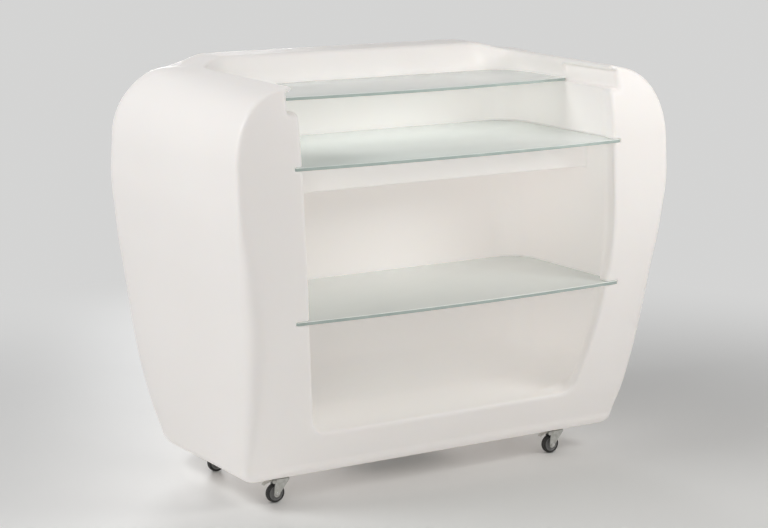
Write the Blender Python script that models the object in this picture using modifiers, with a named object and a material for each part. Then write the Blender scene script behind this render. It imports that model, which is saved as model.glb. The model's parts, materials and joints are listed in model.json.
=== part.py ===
"""Illuminated bar counter on four castors: a rotomoulded body with three glass shelves.

Frame: metres, +Z up, floor at Z = 0. The service side, open, faces -Y; the customer side faces +Y.
X runs along the counter and the body is symmetric about X = 0. Depths in Y are given from the front
plane of the shelves, and one empty carries everything to centre the counter on the origin.
"""
import bpy
import bmesh
from math import cos, pi, sin, sqrt
from mathutils import Matrix, Vector

# Body levels above the floor
base_height = 0.075
heel_rise = 0.032
knee_height = 0.200
calf_height = 0.350
waist_height = 0.500
hip_height = 0.650
belly_height = 0.800
shoulder_height = 0.885
crest_height = 1.085
rim_rise = 0.015

# Half length of the body at each level
base_half = 0.538
heel_half = 0.5705
knee_half = 0.587
calf_half = 0.604
waist_half = 0.616
hip_half = 0.633
belly_half = 0.646
shoulder_half = belly_half
crest_half = 0.490

# Service face at each level, measured from the front plane of the shelves
base_front = 0.150
heel_front = 0.118
knee_front = 0.076
calf_front = 0.032
waist_front = 0.003
hip_front = -0.011
belly_front = -0.003
shoulder_front = 0.003
crest_lean = 0.033

# Customer face at each level
base_back = 0.660
heel_back = 0.686
knee_back = 0.727
calf_back = 0.770
waist_back = 0.796
hip_back = 0.808
belly_back = 0.807
shoulder_back = 0.796
rim_back = 0.676

# Vertical corner radii of the body
heel_corner = 0.014
knee_corner = 0.032
calf_corner = 0.046
waist_corner = 0.049
hip_corner = 0.035
belly_corner = 0.009
back_corner = 0.120

# Where the raised customer rim starts and is full, in depth and from the ends
rim_rise_start = 0.390
rim_rise_end = 0.556
rim_rise_half = 0.490
rim_rise_blend = 0.100
rim_width = 0.110

# The ends' tops: swell outside the rim, fall towards the service side, ridge along the opening
end_swell = 0.0135
end_swell_half = 0.500
end_swell_blend = 0.080
crest_fall = 0.0165
crest_fall_end = 0.870
ridge_rise = 0.0066
ridge_half = 0.520
ridge_blend = 0.045

# Width of the legs at each level
knee_leg = 0.186
calf_leg = 0.176
waist_leg = 0.166
hip_leg = 0.171
belly_leg = 0.181
shoulder_leg = 0.179

# Service opening
floor_height = 0.196
lip_depth = 0.020
lip_blend = 0.055
lip_radius = 0.018
opening_corner = 0.035
floor_fillet = 0.100
bay_half = 0.495
well_half = 0.504
rim_bay_half = 0.478
rim_lip_radius = 0.008
rim_lean_drop = 0.015
bay_corner = 0.100
low_bay_back = 0.412
rim_bay_back = 0.557
rim_edge_radius = 0.010

# Cross deck under the middle shelf
deck_setback = 0.137
deck_thickness = 0.079
deck_edge_radius = 0.006

# Walls of the moulding
wall = 0.006
groove_wall = 0.005

# Glass shelves
glass_thickness = 0.008
glass_half = 0.488
glass_front_corner = 0.006
glass_back_corner = 0.098
glass_bow = 0.020
low_shelf_height = 0.497
low_shelf_back = 0.452
shelf_front = 0.001
middle_shelf_height = 0.875
middle_shelf_back = 0.515
top_shelf_drop = 0.070
top_shelf_height = crest_height - top_shelf_drop
top_shelf_front = 0.245
top_shelf_back = 0.530
top_shelf_bow = 0.030
top_shelf_half = 0.503
top_front_corner = 0.018
ledge_width = 0.015
groove_run_out = 0.060
top_groove_run_out = 0.030
groove_clearance = 0.0015
groove_headroom = 0.0022
seat_gap = 0.0003

# Entry pockets of the top shelf, in both end walls
pocket_height = 0.047
pocket_depth = 0.0115
pocket_length = 0.255
pocket_corner = 0.003

# Lamp compartment in the underside
lamp_bay_length = 0.240
lamp_bay_width = 0.110
lamp_bay_depth = 0.072
lamp_bay_y = 0.345
lamp_bay_corner = 0.012
hatch_margin = 0.022
hatch_thickness = 0.003
gasket_thickness = 0.0015
gasket_width = 0.008
hatch_screw_diameter = 0.004
hatch_screw_head = 0.008
hatch_screw_length = 0.012
bulb_diameter = 0.045
bulb_length = 0.080
bulb_neck_diameter = 0.026
holder_diameter = 0.034
holder_length = 0.040
holder_plate_thickness = 0.002
gland_thread_diameter = 0.016
gland_hex_width = 0.022
gland_length = 0.018
gland_bore = 0.007
gland_nut_height = 0.004

# Castors: place of the swivel pins
castor_inset = 0.107
castor_half_span = base_half - castor_inset
castor_front_y = 0.186
castor_back_y = 0.510
plate_length = 0.056
plate_width = 0.050
plate_thickness = 0.0025
plate_screw_inset = 0.009
plate_screw_diameter = 0.004
plate_screw_head = 0.008
plate_screw_length = 0.014
race_diameter = 0.034
race_height = 0.0075
king_pin_diameter = 0.008
king_head_diameter = 0.013
king_head_height = 0.0035
wheel_radius = 0.025
wheel_width = 0.018
tyre_thickness = 0.006
hub_diameter = 0.014
hub_extra = 0.0008
axle_diameter = 0.006
axle_head_diameter = 0.011
axle_head_height = 0.0035
axle_clearance = 0.0004
trail = 0.022
fork_thickness = 0.002
fork_side_clearance = 0.0012
fork_top_length = 0.030
fork_foot_radius = 0.009
pedal_width = 0.016
pedal_length = 0.026
pedal_thickness = 0.0024
pedal_pin_diameter = 0.004
pedal_setback = 0.009
pedal_drop = 0.0075
shoe_depth = 0.0082

shell_white = (0.86, 0.84, 0.81, 1.0)
glass_green = (0.70, 0.79, 0.75, 1.0)
steel_grey = (0.55, 0.55, 0.53, 1.0)
rubber_black = (0.02, 0.02, 0.02, 1.0)
hub_grey = (0.30, 0.30, 0.30, 1.0)
seal_black = (0.03, 0.03, 0.03, 1.0)
lamp_white = (0.90, 0.90, 0.86, 1.0)

for old in list(bpy.data.objects):
    bpy.data.objects.remove(old, do_unlink=True)

parts = bpy.data.collections.new("illuminated_bar_counter")
cutters = bpy.data.collections.new("cutters")
bpy.context.scene.collection.children.link(parts)
bpy.context.scene.collection.children.link(cutters)

counter_frame = bpy.data.objects.new("counter_frame", None)
parts.objects.link(counter_frame)


def material(name, colour, roughness, metallic=0.0, transmission=0.0):
    m = bpy.data.materials.new(name)
    m.use_nodes = True
    shader = m.node_tree.nodes["Principled BSDF"]
    shader.inputs["Base Color"].default_value = colour
    shader.inputs["Roughness"].default_value = roughness
    shader.inputs["Metallic"].default_value = metallic
    shader.inputs["Transmission Weight"].default_value = transmission
    m.diffuse_color = colour
    return m


def add(name, mesh, look=None, place=(0, 0, 0), turn=None, home=parts, parent=None):
    ob = bpy.data.objects.new(name, mesh)
    home.objects.link(ob)
    ob.location = place
    if turn is not None:
        ob.rotation_euler = turn
    if look is not None and not mesh.materials:
        mesh.materials.append(look)
    ob.parent = parent or counter_frame
    if home is cutters:
        ob.hide_render = True
        ob.display_type = "WIRE"
    return ob


def finish(bm, name):
    bmesh.ops.remove_doubles(bm, verts=bm.verts, dist=1e-6)
    bmesh.ops.dissolve_degenerate(bm, edges=bm.edges, dist=1e-7)
    bmesh.ops.recalc_face_normals(bm, faces=bm.faces)
    mesh = bpy.data.meshes.new(name)
    bm.to_mesh(mesh)
    bm.free()
    return mesh


def box_mesh(name, low, high):
    # Axis-aligned block between two corners
    bm = bmesh.new()
    size = [h - l for l, h in zip(low, high)]
    middle = [(h + l) / 2 for l, h in zip(low, high)]
    bmesh.ops.create_cube(bm, size=1.0, matrix=Matrix.Translation(middle) @ Matrix.Diagonal((*size, 1.0)))
    return finish(bm, name)


def loft_mesh(name, rings):
    # Quads between closed rings of equal count, a flat cap on the first and the last
    bm = bmesh.new()
    loops = [[bm.verts.new(p) for p in ring] for ring in rings]
    count = len(rings[0])
    for a, b in zip(loops, loops[1:]):
        for i in range(count):
            j = (i + 1) % count
            bm.faces.new((a[i], a[j], b[j], b[i]))
    bm.faces.new(list(reversed(loops[0])))
    bm.faces.new(loops[-1])
    return finish(bm, name)


def outline_mesh(name, points, thickness, middle=0.0):
    # A flat outline as a filled 2D curve with an extrude, made a welded mesh
    curve = bpy.data.curves.new(name, "CURVE")
    curve.dimensions = "2D"
    curve.fill_mode = "BOTH"
    curve.extrude = thickness / 2
    spline = curve.splines.new("POLY")
    spline.points.add(len(points) - 1)
    for slot, (x, y) in zip(spline.points, points):
        slot.co = (x, y, 0.0, 1.0)
    spline.use_cyclic_u = True
    holder = bpy.data.objects.new(name, curve)
    cutters.objects.link(holder)
    bpy.context.view_layer.update()
    graph = bpy.context.evaluated_depsgraph_get()
    mesh = bpy.data.meshes.new_from_object(holder.evaluated_get(graph))
    bm = bmesh.new()
    bm.from_mesh(mesh)
    bmesh.ops.translate(bm, verts=bm.verts, vec=(0, 0, middle))
    bpy.data.objects.remove(holder)
    bpy.data.curves.remove(curve)
    return finish(bm, name)


def turned_mesh(name, profile, steps):
    # (radius, height) profile, top to bottom, revolved about Z by a Screw modifier
    mesh = bpy.data.meshes.new(name)
    points = [(r, 0.0, z) for r, z in profile]
    mesh.from_pydata(points, [(i, i + 1) for i in range(len(points) - 1)], [])
    ob = add(name + "_profile", mesh, home=cutters)
    screw = ob.modifiers.new("Turn", "SCREW")
    screw.steps = steps
    screw.render_steps = steps
    screw.use_merge_vertices = True
    screw.merge_threshold = 0.00001
    bpy.context.view_layer.update()
    graph = bpy.context.evaluated_depsgraph_get()
    result = bpy.data.meshes.new_from_object(ob.evaluated_get(graph))
    bpy.data.objects.remove(ob)
    bm = bmesh.new()
    bm.from_mesh(result)
    return finish(bm, name)


def smooth(mesh, angle=0.6):
    mesh.shade_smooth()
    mesh.set_sharp_from_angle(angle=angle)
    return mesh


def cut(ob, cutter, operation="DIFFERENCE"):
    m = ob.modifiers.new(operation.title() + " " + cutter.name, "BOOLEAN")
    m.operation = operation
    m.solver = "EXACT"
    m.object = cutter
    return m


def frozen(ob, name):
    # The evaluated mesh of a piece, once its Booleans are done
    bpy.context.view_layer.update()
    mesh = bpy.data.meshes.new_from_object(ob.evaluated_get(bpy.context.evaluated_depsgraph_get()))
    mesh.name = name
    bpy.data.objects.remove(ob)
    return mesh


def bevel(ob, width, segments=2, angle=0.6):
    m = ob.modifiers.new("Edge", "BEVEL")
    m.width = width
    m.segments = segments
    m.limit_method = "ANGLE"
    m.angle_limit = angle
    return m


def arc(cx, cy, radius, start, end, steps):
    return [(cx + radius * cos(start + (end - start) * i / steps),
             cy + radius * sin(start + (end - start) * i / steps)) for i in range(steps + 1)]


def blend(t):
    t = min(1.0, max(0.0, t))
    return t * t * (3 - 2 * t)


def through(levels, values, z):
    # Smooth curve through the values at the levels (cubic Hermite with limited slopes)
    n = len(levels)
    if z <= levels[0]:
        return values[0]
    if z >= levels[-1]:
        return values[-1]
    secant = [(values[i + 1] - values[i]) / (levels[i + 1] - levels[i]) for i in range(n - 1)]
    slope = [secant[0]] + [0.0] * (n - 2) + [secant[-1]]
    for i in range(1, n - 1):
        a, b = secant[i - 1], secant[i]
        slope[i] = 0.0 if a * b <= 0 else 2 * a * b / (a + b)
    i = max(k for k in range(n - 1) if levels[k] <= z)
    h = levels[i + 1] - levels[i]
    t = (z - levels[i]) / h
    return ((1 + 2 * t) * (1 - t) ** 2 * values[i] + t * (1 - t) ** 2 * h * slope[i]
            + t * t * (3 - 2 * t) * values[i + 1] + t * t * (t - 1) * h * slope[i + 1])


heel_height = base_height + heel_rise
body_levels = [heel_height, knee_height, calf_height, waist_height, hip_height, belly_height, shoulder_height]
half_values = [heel_half, knee_half, calf_half, waist_half, hip_half, belly_half, shoulder_half]
front_values = [heel_front, knee_front, calf_front, waist_front, hip_front, belly_front, shoulder_front]
back_values = [heel_back, knee_back, calf_back, waist_back, hip_back, belly_back, shoulder_back]
leg_values = [knee_leg, knee_leg, calf_leg, waist_leg, hip_leg, belly_leg, shoulder_leg]
corner_values = [heel_corner, knee_corner, calf_corner, waist_corner, hip_corner, belly_corner, belly_corner]


def rise_share(z):
    return min(1.0, max(0.0, (z - shoulder_height) / (crest_height - shoulder_height)))


def heel_share(z):
    return sqrt(max(0.0, 1 - min(1.0, (z - base_height) / heel_rise - 1.0) ** 2)) if z < heel_height else 1.0


def body_half(z):
    if z < heel_height:
        return base_half + (heel_half - base_half) * heel_share(z)
    if z <= shoulder_height:
        return through(body_levels, half_values, z)
    t = rise_share(z)
    return crest_half + (shoulder_half - crest_half) * sqrt(max(0.0, 1 - t * t))


def body_front(z):
    if z < heel_height:
        return base_front + (heel_front - base_front) * heel_share(z)
    if z <= shoulder_height:
        return through(body_levels, front_values, z)
    return shoulder_front + crest_lean * rise_share(z) ** 1.3


def body_back(z):
    if z < heel_height:
        return base_back + (heel_back - base_back) * heel_share(z)
    if z <= shoulder_height:
        return through(body_levels, back_values, z)
    return shoulder_back + (rim_back - shoulder_back) * rise_share(z) ** 2.4


def body_corner(z):
    return through(body_levels, corner_values, z)


def lift(x, y, z):
    # The rim rises along the customer side; the tops of the ends swell there and fall towards the service side
    far = blend((y - rim_rise_start) / (rim_rise_end - rim_rise_start))
    raised = far * blend((rim_rise_half - abs(x)) / rim_rise_blend)
    swell = far * blend((abs(x) - end_swell_half) / end_swell_blend)
    fall = crest_fall - ridge_rise * blend((ridge_half - abs(x)) / ridge_blend)
    fall *= min(1.0, max(0.0, 1 - y / crest_fall_end)) * (1 - raised)
    return (rim_rise * raised + end_swell * swell) * rise_share(z) ** 2 - fall * rise_share(z) ** 4


def body_outline(half, front, back, front_r, back_r):
    points = arc(half - front_r, front + front_r, front_r, -pi / 2, 0, 4)
    a, b = front + front_r, back - back_r
    points += [(half, a + (b - a) * k / 4) for k in range(1, 4)]
    points += arc(half - back_r, back - back_r, back_r, 0, pi / 2, 7)
    points += [(0.0, back)]
    mirrored = [(-x, y) for x, y in reversed(points[:-1])]
    return points + mirrored


def body_ring(z, inset=0.0, drop=0.0, flat=False):
    outline = body_outline(body_half(z) - inset, body_front(z) + inset, body_back(z) - inset,
                           body_corner(z), back_corner)
    return [Vector((x, y, z - drop + (0.0 if flat else lift(x, y, z)))) for x, y in outline]


# Body: loft of rounded sections from the base to the crest, then in over the top of the walls
heel_rings = [base_height + heel_rise * k / 3 for k in range(3)]
side_rings = [heel_height + (shoulder_height - heel_height) * k / 12 for k in range(13)]
crown_rings = [shoulder_height + (crest_height - shoulder_height) * sin(pi / 2 * k / 9) for k in range(1, 10)]
rings = [body_ring(z) for z in heel_rings + side_rings + crown_rings]
rings.append(body_ring(crest_height, rim_width))
rings.append(body_ring(crest_height, rim_width * 2, flat=True))
body = add("body_shell", loft_mesh("body_shell", rings), material("shell_white", shell_white, 0.45))

# Service opening: the lip follows the legs, the bay behind it is wider
deck_bottom = middle_shelf_height - deck_thickness
bay_back_levels = [floor_height, low_shelf_height, middle_shelf_height, top_shelf_height, crest_height]
bay_back_values = [low_bay_back, low_shelf_back + groove_clearance, middle_shelf_back + groove_clearance,
                   top_shelf_back + groove_clearance, rim_bay_back]


def bay_fillet(z):
    s = min(1.0, max(0.0, (floor_height + floor_fillet - z) / floor_fillet))
    return floor_fillet * (1 - sqrt(max(0.0, 1 - s * s)))


def opening_half(z):
    s = min(1.0, max(0.0, (floor_height + opening_corner - z) / opening_corner))
    lip = body_half(min(z, shoulder_height)) - through(body_levels, leg_values, z)
    return lip - opening_corner * (1 - sqrt(max(0.0, 1 - s * s)))


def bay_outline(z, step, grow=0.0, top_half=None):
    # top_half replaces the lips' and the walls' half width above the top shelf
    lip = (opening_half(z) if top_half is None else top_half) + grow
    edge = lip_radius if top_half is None else rim_lip_radius
    front = body_front(z)
    half = (bay_half - step if top_half is None else top_half) + grow - bay_fillet(z)
    back = through(bay_back_levels, bay_back_values, z) - step + grow - bay_fillet(z)
    far = 0.25
    points = [(lip + edge + far, front - far)]
    for k in range(4):
        a = pi / 2 * k / 3
        points.append((lip + edge * (1 - sin(a)), front + edge * (1 - cos(a))))
    for k in range(5):
        t = k / 4
        points.append((lip + (half - lip) * blend(t), front + lip_depth + lip_blend * t))
    points += arc(half - bay_corner, back - bay_corner, bay_corner, 0, pi / 2, 7)
    return points + [(-x, y) for x, y in reversed(points)]


def bay_ring(z, step=0.0, grow=0.0, drop=0.0, height=None, top_half=None):
    top = z if height is None else height
    return [Vector((x, y, top - drop + lift(x, y, z))) for x, y in bay_outline(z, step, grow, top_half)]


fillet_levels = [floor_height + floor_fillet * (1 - cos(pi / 2 * k / 6)) for k in range(6)]
low_levels = [floor_height + floor_fillet + (low_shelf_height - floor_height - floor_fillet) * k / 3
              for k in range(4)]
groove_height = glass_thickness + groove_headroom
well_floor = top_shelf_height + groove_height / 2
lean_top = crest_height - rim_lean_drop
high_levels = [low_shelf_height + (well_floor - low_shelf_height) * k / 9 for k in range(10)]
bay_rings = [bay_ring(z, ledge_width) for z in fillet_levels + low_levels]
bay_rings += [bay_ring(z) for z in high_levels]
bay_rings += [bay_ring(well_floor, top_half=well_half), bay_ring(lean_top, top_half=rim_bay_half)]
for k in range(4):
    a = pi / 2 * k / 3
    bay_rings.append(bay_ring(crest_height, grow=rim_edge_radius * (1 - cos(a)),
                              drop=rim_edge_radius * (1 - sin(a)), top_half=rim_bay_half))
bay_rings.append(bay_ring(crest_height, grow=rim_edge_radius, height=crest_height + 0.2, top_half=rim_bay_half))
bay = add("bay_cutter", loft_mesh("bay_cutter", bay_rings), home=cutters)

deck = add("deck_guide", box_mesh("deck_guide", (-belly_half, deck_setback, deck_bottom),
                                  (belly_half, belly_back, middle_shelf_height)), home=cutters)
bevel(deck, deck_edge_radius, 2)
cut(bay, deck)
cut(body, bay)

# Sealed inside of the double wall: the body's sections drawn in by the wall, less the bay grown by it
inner_rings = [body_ring(base_height + wall, wall * 1.4)]
inner_rings += [body_ring(z, wall) for z in side_rings[::2]]
for k in range(1, 7):
    a = pi / 2 * k / 6
    inner_rings.append(body_ring(shoulder_height + (crest_height - shoulder_height) * sin(a), wall * (1.4 - 0.4 * sin(a)),
                                 wall * sin(a)))
inner_rings.append(body_ring(crest_height, rim_width, wall))
inner_rings.append(body_ring(crest_height, rim_width * 2, wall, flat=True))
hollow = add("hollow_cutter", loft_mesh("hollow_cutter", inner_rings), home=cutters)

grown_rings = [bay_ring(z, ledge_width, wall, wall) for z in fillet_levels[::2] + low_levels[::3]]
grown_rings += [bay_ring(z, 0.0, wall, wall if z == low_shelf_height else 0.0) for z in high_levels[::3]]
grown_rings += [bay_ring(well_floor, grow=wall, top_half=well_half), bay_ring(lean_top, grow=wall, top_half=rim_bay_half)]
grown_rings.append(bay_ring(crest_height, grow=wall, height=crest_height + 0.2, top_half=rim_bay_half))
grown_bay = add("grown_bay_cutter", loft_mesh("grown_bay_cutter", grown_rings), home=cutters)
deck_inside = add("deck_inside_guide", box_mesh("deck_inside_guide", (-belly_half, deck_setback + wall, deck_bottom + wall),
                                                (belly_half, belly_back, middle_shelf_height - wall)), home=cutters)
cut(grown_bay, deck_inside)
cut(hollow, grown_bay)


# Glass shelves: bowed front edge, rounded corners, and a groove of the same outline in the body
def glass_outline(front, back, bow, width, corner, grow=0.0, open_front=0.0):
    half = width + grow
    rear = back + grow
    nose = front - grow - open_front
    r_front = corner
    points = []
    for k in range(9):
        x = -(half - r_front) + 2 * (half - r_front) * k / 8
        points.append((x, nose - bow * (1 - (x / half) ** 2)))
    end = nose - bow * (1 - ((half - r_front) / half) ** 2)
    points += arc(half - r_front, end + r_front, r_front, -pi / 2, 0, 5)[1:]
    points += arc(half - glass_back_corner, rear - glass_back_corner, glass_back_corner, 0, pi / 2, 10)
    points += arc(-(half - glass_back_corner), rear - glass_back_corner, glass_back_corner, pi / 2, pi, 10)
    points += arc(-(half - r_front), end + r_front, r_front, pi, pi * 1.5, 5)[:-1]
    return points


shelves = {
    "glass_shelf_low": (low_shelf_height, (shelf_front, low_shelf_back, glass_bow, glass_half, glass_front_corner),
                        groove_run_out),
    "glass_shelf_middle": (middle_shelf_height, (shelf_front, middle_shelf_back, glass_bow, glass_half, glass_front_corner),
                           groove_run_out),
    "glass_shelf_top": (top_shelf_height, (top_shelf_front, top_shelf_back, top_shelf_bow, top_shelf_half, top_front_corner),
                        top_groove_run_out),
}
glass_look = material("shelf_glass", glass_green, 0.25, 0.0, 0.5)
for name, (height, shape, run_out) in shelves.items():
    groove = add(name + "_groove",
                 outline_mesh(name + "_groove", glass_outline(*shape, groove_clearance, run_out),
                              groove_height, height + groove_height / 2), home=cutters)
    cut(body, groove)
    around = add(name + "_groove_wall",
                 outline_mesh(name + "_groove_wall",
                              glass_outline(*shape, groove_clearance + groove_wall, run_out),
                              groove_height + 2 * groove_wall, height + groove_height / 2), home=cutters)
    cut(hollow, around)
    pane = outline_mesh(name, glass_outline(*shape), glass_thickness)
    add(name, pane, glass_look, (0, 0, height + seat_gap + glass_thickness / 2))

# Entry pockets of the top shelf, open at the front
for side in (-1, 1):
    inner, outer = side * (bay_half - 0.05), side * (bay_half + pocket_depth)
    pocket = add("pocket_cutter_" + ("left" if side < 0 else "right"),
                 box_mesh("pocket", (min(inner, outer), -0.1, top_shelf_height),
                          (max(inner, outer), pocket_length, top_shelf_height + pocket_height)), home=cutters)
    bevel(pocket, pocket_corner, 2)
    cut(body, pocket)
    inner, outer = side * (bay_half - 0.05), side * (bay_half + pocket_depth + wall)
    around = add("pocket_wall_" + ("left" if side < 0 else "right"),
                 box_mesh("pocket_wall", (min(inner, outer), -0.1, top_shelf_height - wall),
                          (max(inner, outer), pocket_length + wall, crest_height)),
                 home=cutters)
    cut(hollow, around)
cut(body, hollow)

# Lamp compartment, closed by a hatch under the base
lamp_bay = add("lamp_bay_cutter",
               box_mesh("lamp_bay", (-lamp_bay_length / 2, lamp_bay_y - lamp_bay_width / 2, base_height - 0.02),
                        (lamp_bay_length / 2, lamp_bay_y + lamp_bay_width / 2, base_height + lamp_bay_depth)),
               home=cutters)
bevel(lamp_bay, lamp_bay_corner, 2)
cut(body, lamp_bay)


def rounded_rectangle(length, width, radius, steps=4):
    a, b = length / 2 - radius, width / 2 - radius
    return (arc(a, -b, radius, -pi / 2, 0, steps) + arc(a, b, radius, 0, pi / 2, steps)
            + arc(-a, b, radius, pi / 2, pi, steps) + arc(-a, -b, radius, pi, pi * 1.5, steps))


hatch_length = lamp_bay_length + 2 * hatch_margin
hatch_width = lamp_bay_width + 2 * hatch_margin
gasket_middle = base_height - seat_gap - gasket_thickness / 2
hatch_top = base_height - 2 * seat_gap - gasket_thickness
hatch_middle = hatch_top - hatch_thickness / 2
hatch_bottom = hatch_top - hatch_thickness
screw_x = hatch_length / 2 - hatch_margin * 0.3
screw_y = hatch_width / 2 - hatch_margin * 0.3
screw_places = [(sx * screw_x, lamp_bay_y + sy * screw_y) for sx in (-1, 1) for sy in (-1, 1)]

gasket_outer = rounded_rectangle(lamp_bay_length + 2 * gasket_width, lamp_bay_width + 2 * gasket_width,
                                 lamp_bay_corner + gasket_width)
gasket_inner = rounded_rectangle(lamp_bay_length + 0.002, lamp_bay_width + 0.002, lamp_bay_corner)
gasket = add("hatch_gasket", outline_mesh("hatch_gasket", gasket_outer, gasket_thickness),
             material("hatch_seal", seal_black, 0.7), (0, lamp_bay_y, gasket_middle))
gasket_core = add("gasket_cutter", outline_mesh("gasket_cutter", gasket_inner, gasket_thickness * 4),
                  place=(0, lamp_bay_y, gasket_middle), home=cutters)
cut(gasket, gasket_core)

hatch = add("lamp_hatch", outline_mesh("lamp_hatch", rounded_rectangle(hatch_length, hatch_width, lamp_bay_corner),
                                       hatch_thickness),
            material("hatch_plate", steel_grey, 0.4, 1.0), (0, lamp_bay_y, hatch_middle))


def round_bar(radius, low, high, sides=16):
    bm = bmesh.new()
    bmesh.ops.create_cone(bm, cap_ends=True, segments=sides, radius1=radius, radius2=radius, depth=high - low,
                          matrix=Matrix.Translation((0, 0, (low + high) / 2)))
    return finish(bm, "bar")


def pan_screw(name, shaft, head, length, sides=8):
    # Screw seen from below: pan head down, shaft up; the head's seat is at Z = 0
    rise = head * 0.3
    profile = [(0.0, length), (shaft / 2, length), (shaft / 2, 0.0), (head / 2, 0.0), (head * 0.38, -rise),
               (0.0, -rise)]
    return smooth(turned_mesh(name, profile, sides), 0.5)


screw_mesh = pan_screw("hatch_screw", hatch_screw_diameter, hatch_screw_head, hatch_screw_length)
screw_look = material("hatch_screw_steel", steel_grey, 0.3, 1.0)
for i, (x, y) in enumerate(screw_places):
    add("hatch_screw_%d" % (i + 1), screw_mesh, screw_look, (x, y, hatch_bottom - seat_gap))
hole_top = hatch_bottom - seat_gap + hatch_screw_length + 0.002
for i, (x, y) in enumerate(screw_places):
    hole = add("hatch_hole_%d" % i, round_bar(hatch_screw_diameter / 2 + seat_gap, hatch_bottom - 0.01, hole_top, 8),
               place=(x, y, 0), home=cutters)
    cut(hatch, hole)
    cut(body, hole)

# Lamp holder on its foot, fixed to the hatch, with the lamp along X
lamp_axis = base_height + lamp_bay_depth * 0.5
holder_x = -lamp_bay_length * 0.5 + 0.035
holder_profile = [(0.0, holder_length), (holder_diameter * 0.46, holder_length),
                  (holder_diameter * 0.5, holder_length * 0.9), (holder_diameter * 0.5, holder_length * 0.45),
                  (holder_diameter * 0.42, holder_length * 0.35), (holder_diameter * 0.42, 0.0), (0.0, 0.0)]
lean = (0, pi / 2, 0)
holder = add("lamp_holder", smooth(turned_mesh("lamp_holder", holder_profile, 16), 0.5),
             material("holder_plastic", lamp_white, 0.5), (holder_x, lamp_bay_y, lamp_axis), lean)
neck_depth = 0.012
holder_bore = add("holder_bore", round_bar(bulb_neck_diameter / 2 + seat_gap, holder_length - neck_depth,
                                           holder_length + 0.01, 16),
                  place=(holder_x, lamp_bay_y, lamp_axis), turn=lean, home=cutters)
cut(holder, holder_bore)

bulb_profile = [(0.0, bulb_length)]
globe_r = bulb_diameter / 2
for k in range(1, 9):
    a = pi / 2 - (pi / 2 + 0.75) * k / 8
    bulb_profile.append((globe_r * cos(a), bulb_length - globe_r + globe_r * sin(a)))
bulb_profile += [(bulb_neck_diameter / 2, bulb_length * 0.32), (bulb_neck_diameter / 2, 0.0), (0.0, 0.0)]
bulb_x = holder_x + holder_length - neck_depth + seat_gap
add("led_bulb", smooth(turned_mesh("led_bulb", bulb_profile, 16), 0.7),
    material("bulb_opal", lamp_white, 0.3), (bulb_x, lamp_bay_y, lamp_axis), lean)

foot_height = lamp_axis - holder_diameter * 0.5 - seat_gap - hatch_top - seat_gap
foot = add("lamp_foot", box_mesh("lamp_foot", (-0.008, -0.014, 0.0), (0.008, 0.014, foot_height)),
           material("foot_steel", steel_grey, 0.4, 1.0),
           (holder_x + holder_length * 0.68, lamp_bay_y, hatch_top + seat_gap))
bevel(foot, holder_plate_thickness * 0.5, 1)

# Cable gland through the hatch: hexagon outside, thread through the plate, lock nut inside
gland_x = lamp_bay_length * 0.5 - 0.03
gland_hole = add("gland_hole", round_bar(gland_thread_diameter / 2 + seat_gap, hatch_bottom - 0.01, hatch_top + 0.01, 20),
                 place=(gland_x, lamp_bay_y, 0), home=cutters)
cut(hatch, gland_hole)
nut_base = hatch_top + seat_gap
thread_top = nut_base + gland_nut_height + 0.003
gland_profile = [(gland_bore / 2, thread_top), (gland_thread_diameter / 2, thread_top),
                 (gland_thread_diameter / 2, hatch_bottom - seat_gap), (gland_hex_width / 2, hatch_bottom - seat_gap),
                 (gland_hex_width / 2, hatch_bottom - gland_length * 0.45),
                 (gland_hex_width * 0.46, hatch_bottom - gland_length * 0.5),
                 (gland_hex_width * 0.42, hatch_bottom - gland_length * 0.85),
                 (gland_hex_width * 0.30, hatch_bottom - gland_length), (gland_bore / 2, hatch_bottom - gland_length),
                 (gland_bore / 2, thread_top)]
add("cable_gland", smooth(turned_mesh("cable_gland", gland_profile, 14), 0.5),
    material("gland_plastic", seal_black, 0.5), (gland_x, lamp_bay_y, 0))
nut_r = gland_hex_width / 2 / cos(pi / 6)
gland_nut = add("gland_nut", outline_mesh("gland_nut", arc(0, 0, nut_r, 0, pi * 5 / 3, 5), gland_nut_height),
                material("gland_nut_plastic", seal_black, 0.5),
                (gland_x, lamp_bay_y, nut_base + gland_nut_height / 2))
nut_bore = add("gland_nut_bore", round_bar(gland_thread_diameter / 2 + seat_gap, nut_base - 0.01,
                                           nut_base + gland_nut_height + 0.01, 20),
               place=(gland_x, lamp_bay_y, 0), home=cutters)
cut(gland_nut, nut_bore)

# Castors
plate_top = base_height - seat_gap
plate_bottom = plate_top - plate_thickness
race_top = plate_bottom - seat_gap
race_bottom = race_top - race_height
fork_top = race_bottom - seat_gap
fork_inner_half = wheel_width / 2 + hub_extra + fork_side_clearance
fork_outer_half = fork_inner_half + fork_thickness
wheel_steps = 16

plate_mesh = outline_mesh("castor_plate", rounded_rectangle(plate_length, plate_width, 0.005, 2), plate_thickness)
race_profile = [(0.0, 0.0), (race_diameter * 0.5, 0.0), (race_diameter * 0.5, -race_height * 0.45),
                (race_diameter * 0.44, -race_height * 0.6), (race_diameter * 0.40, -race_height),
                (0.0, -race_height)]
race_mesh = smooth(turned_mesh("castor_race", race_profile, 16), 0.5)
king_low = fork_top - fork_thickness - seat_gap - king_head_height
king_profile = [(0.0, race_bottom - seat_gap), (king_pin_diameter / 2, race_bottom - seat_gap),
                (king_pin_diameter / 2, king_low + king_head_height), (king_head_diameter / 2, king_low + king_head_height),
                (king_head_diameter / 2, king_low + king_head_height * 0.4), (king_head_diameter * 0.4, king_low),
                (0.0, king_low)]
king_mesh = smooth(turned_mesh("castor_king_pin", king_profile, 12), 0.5)
plate_screw_mesh = pan_screw("plate_screw", plate_screw_diameter, plate_screw_head, plate_screw_length)
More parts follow.
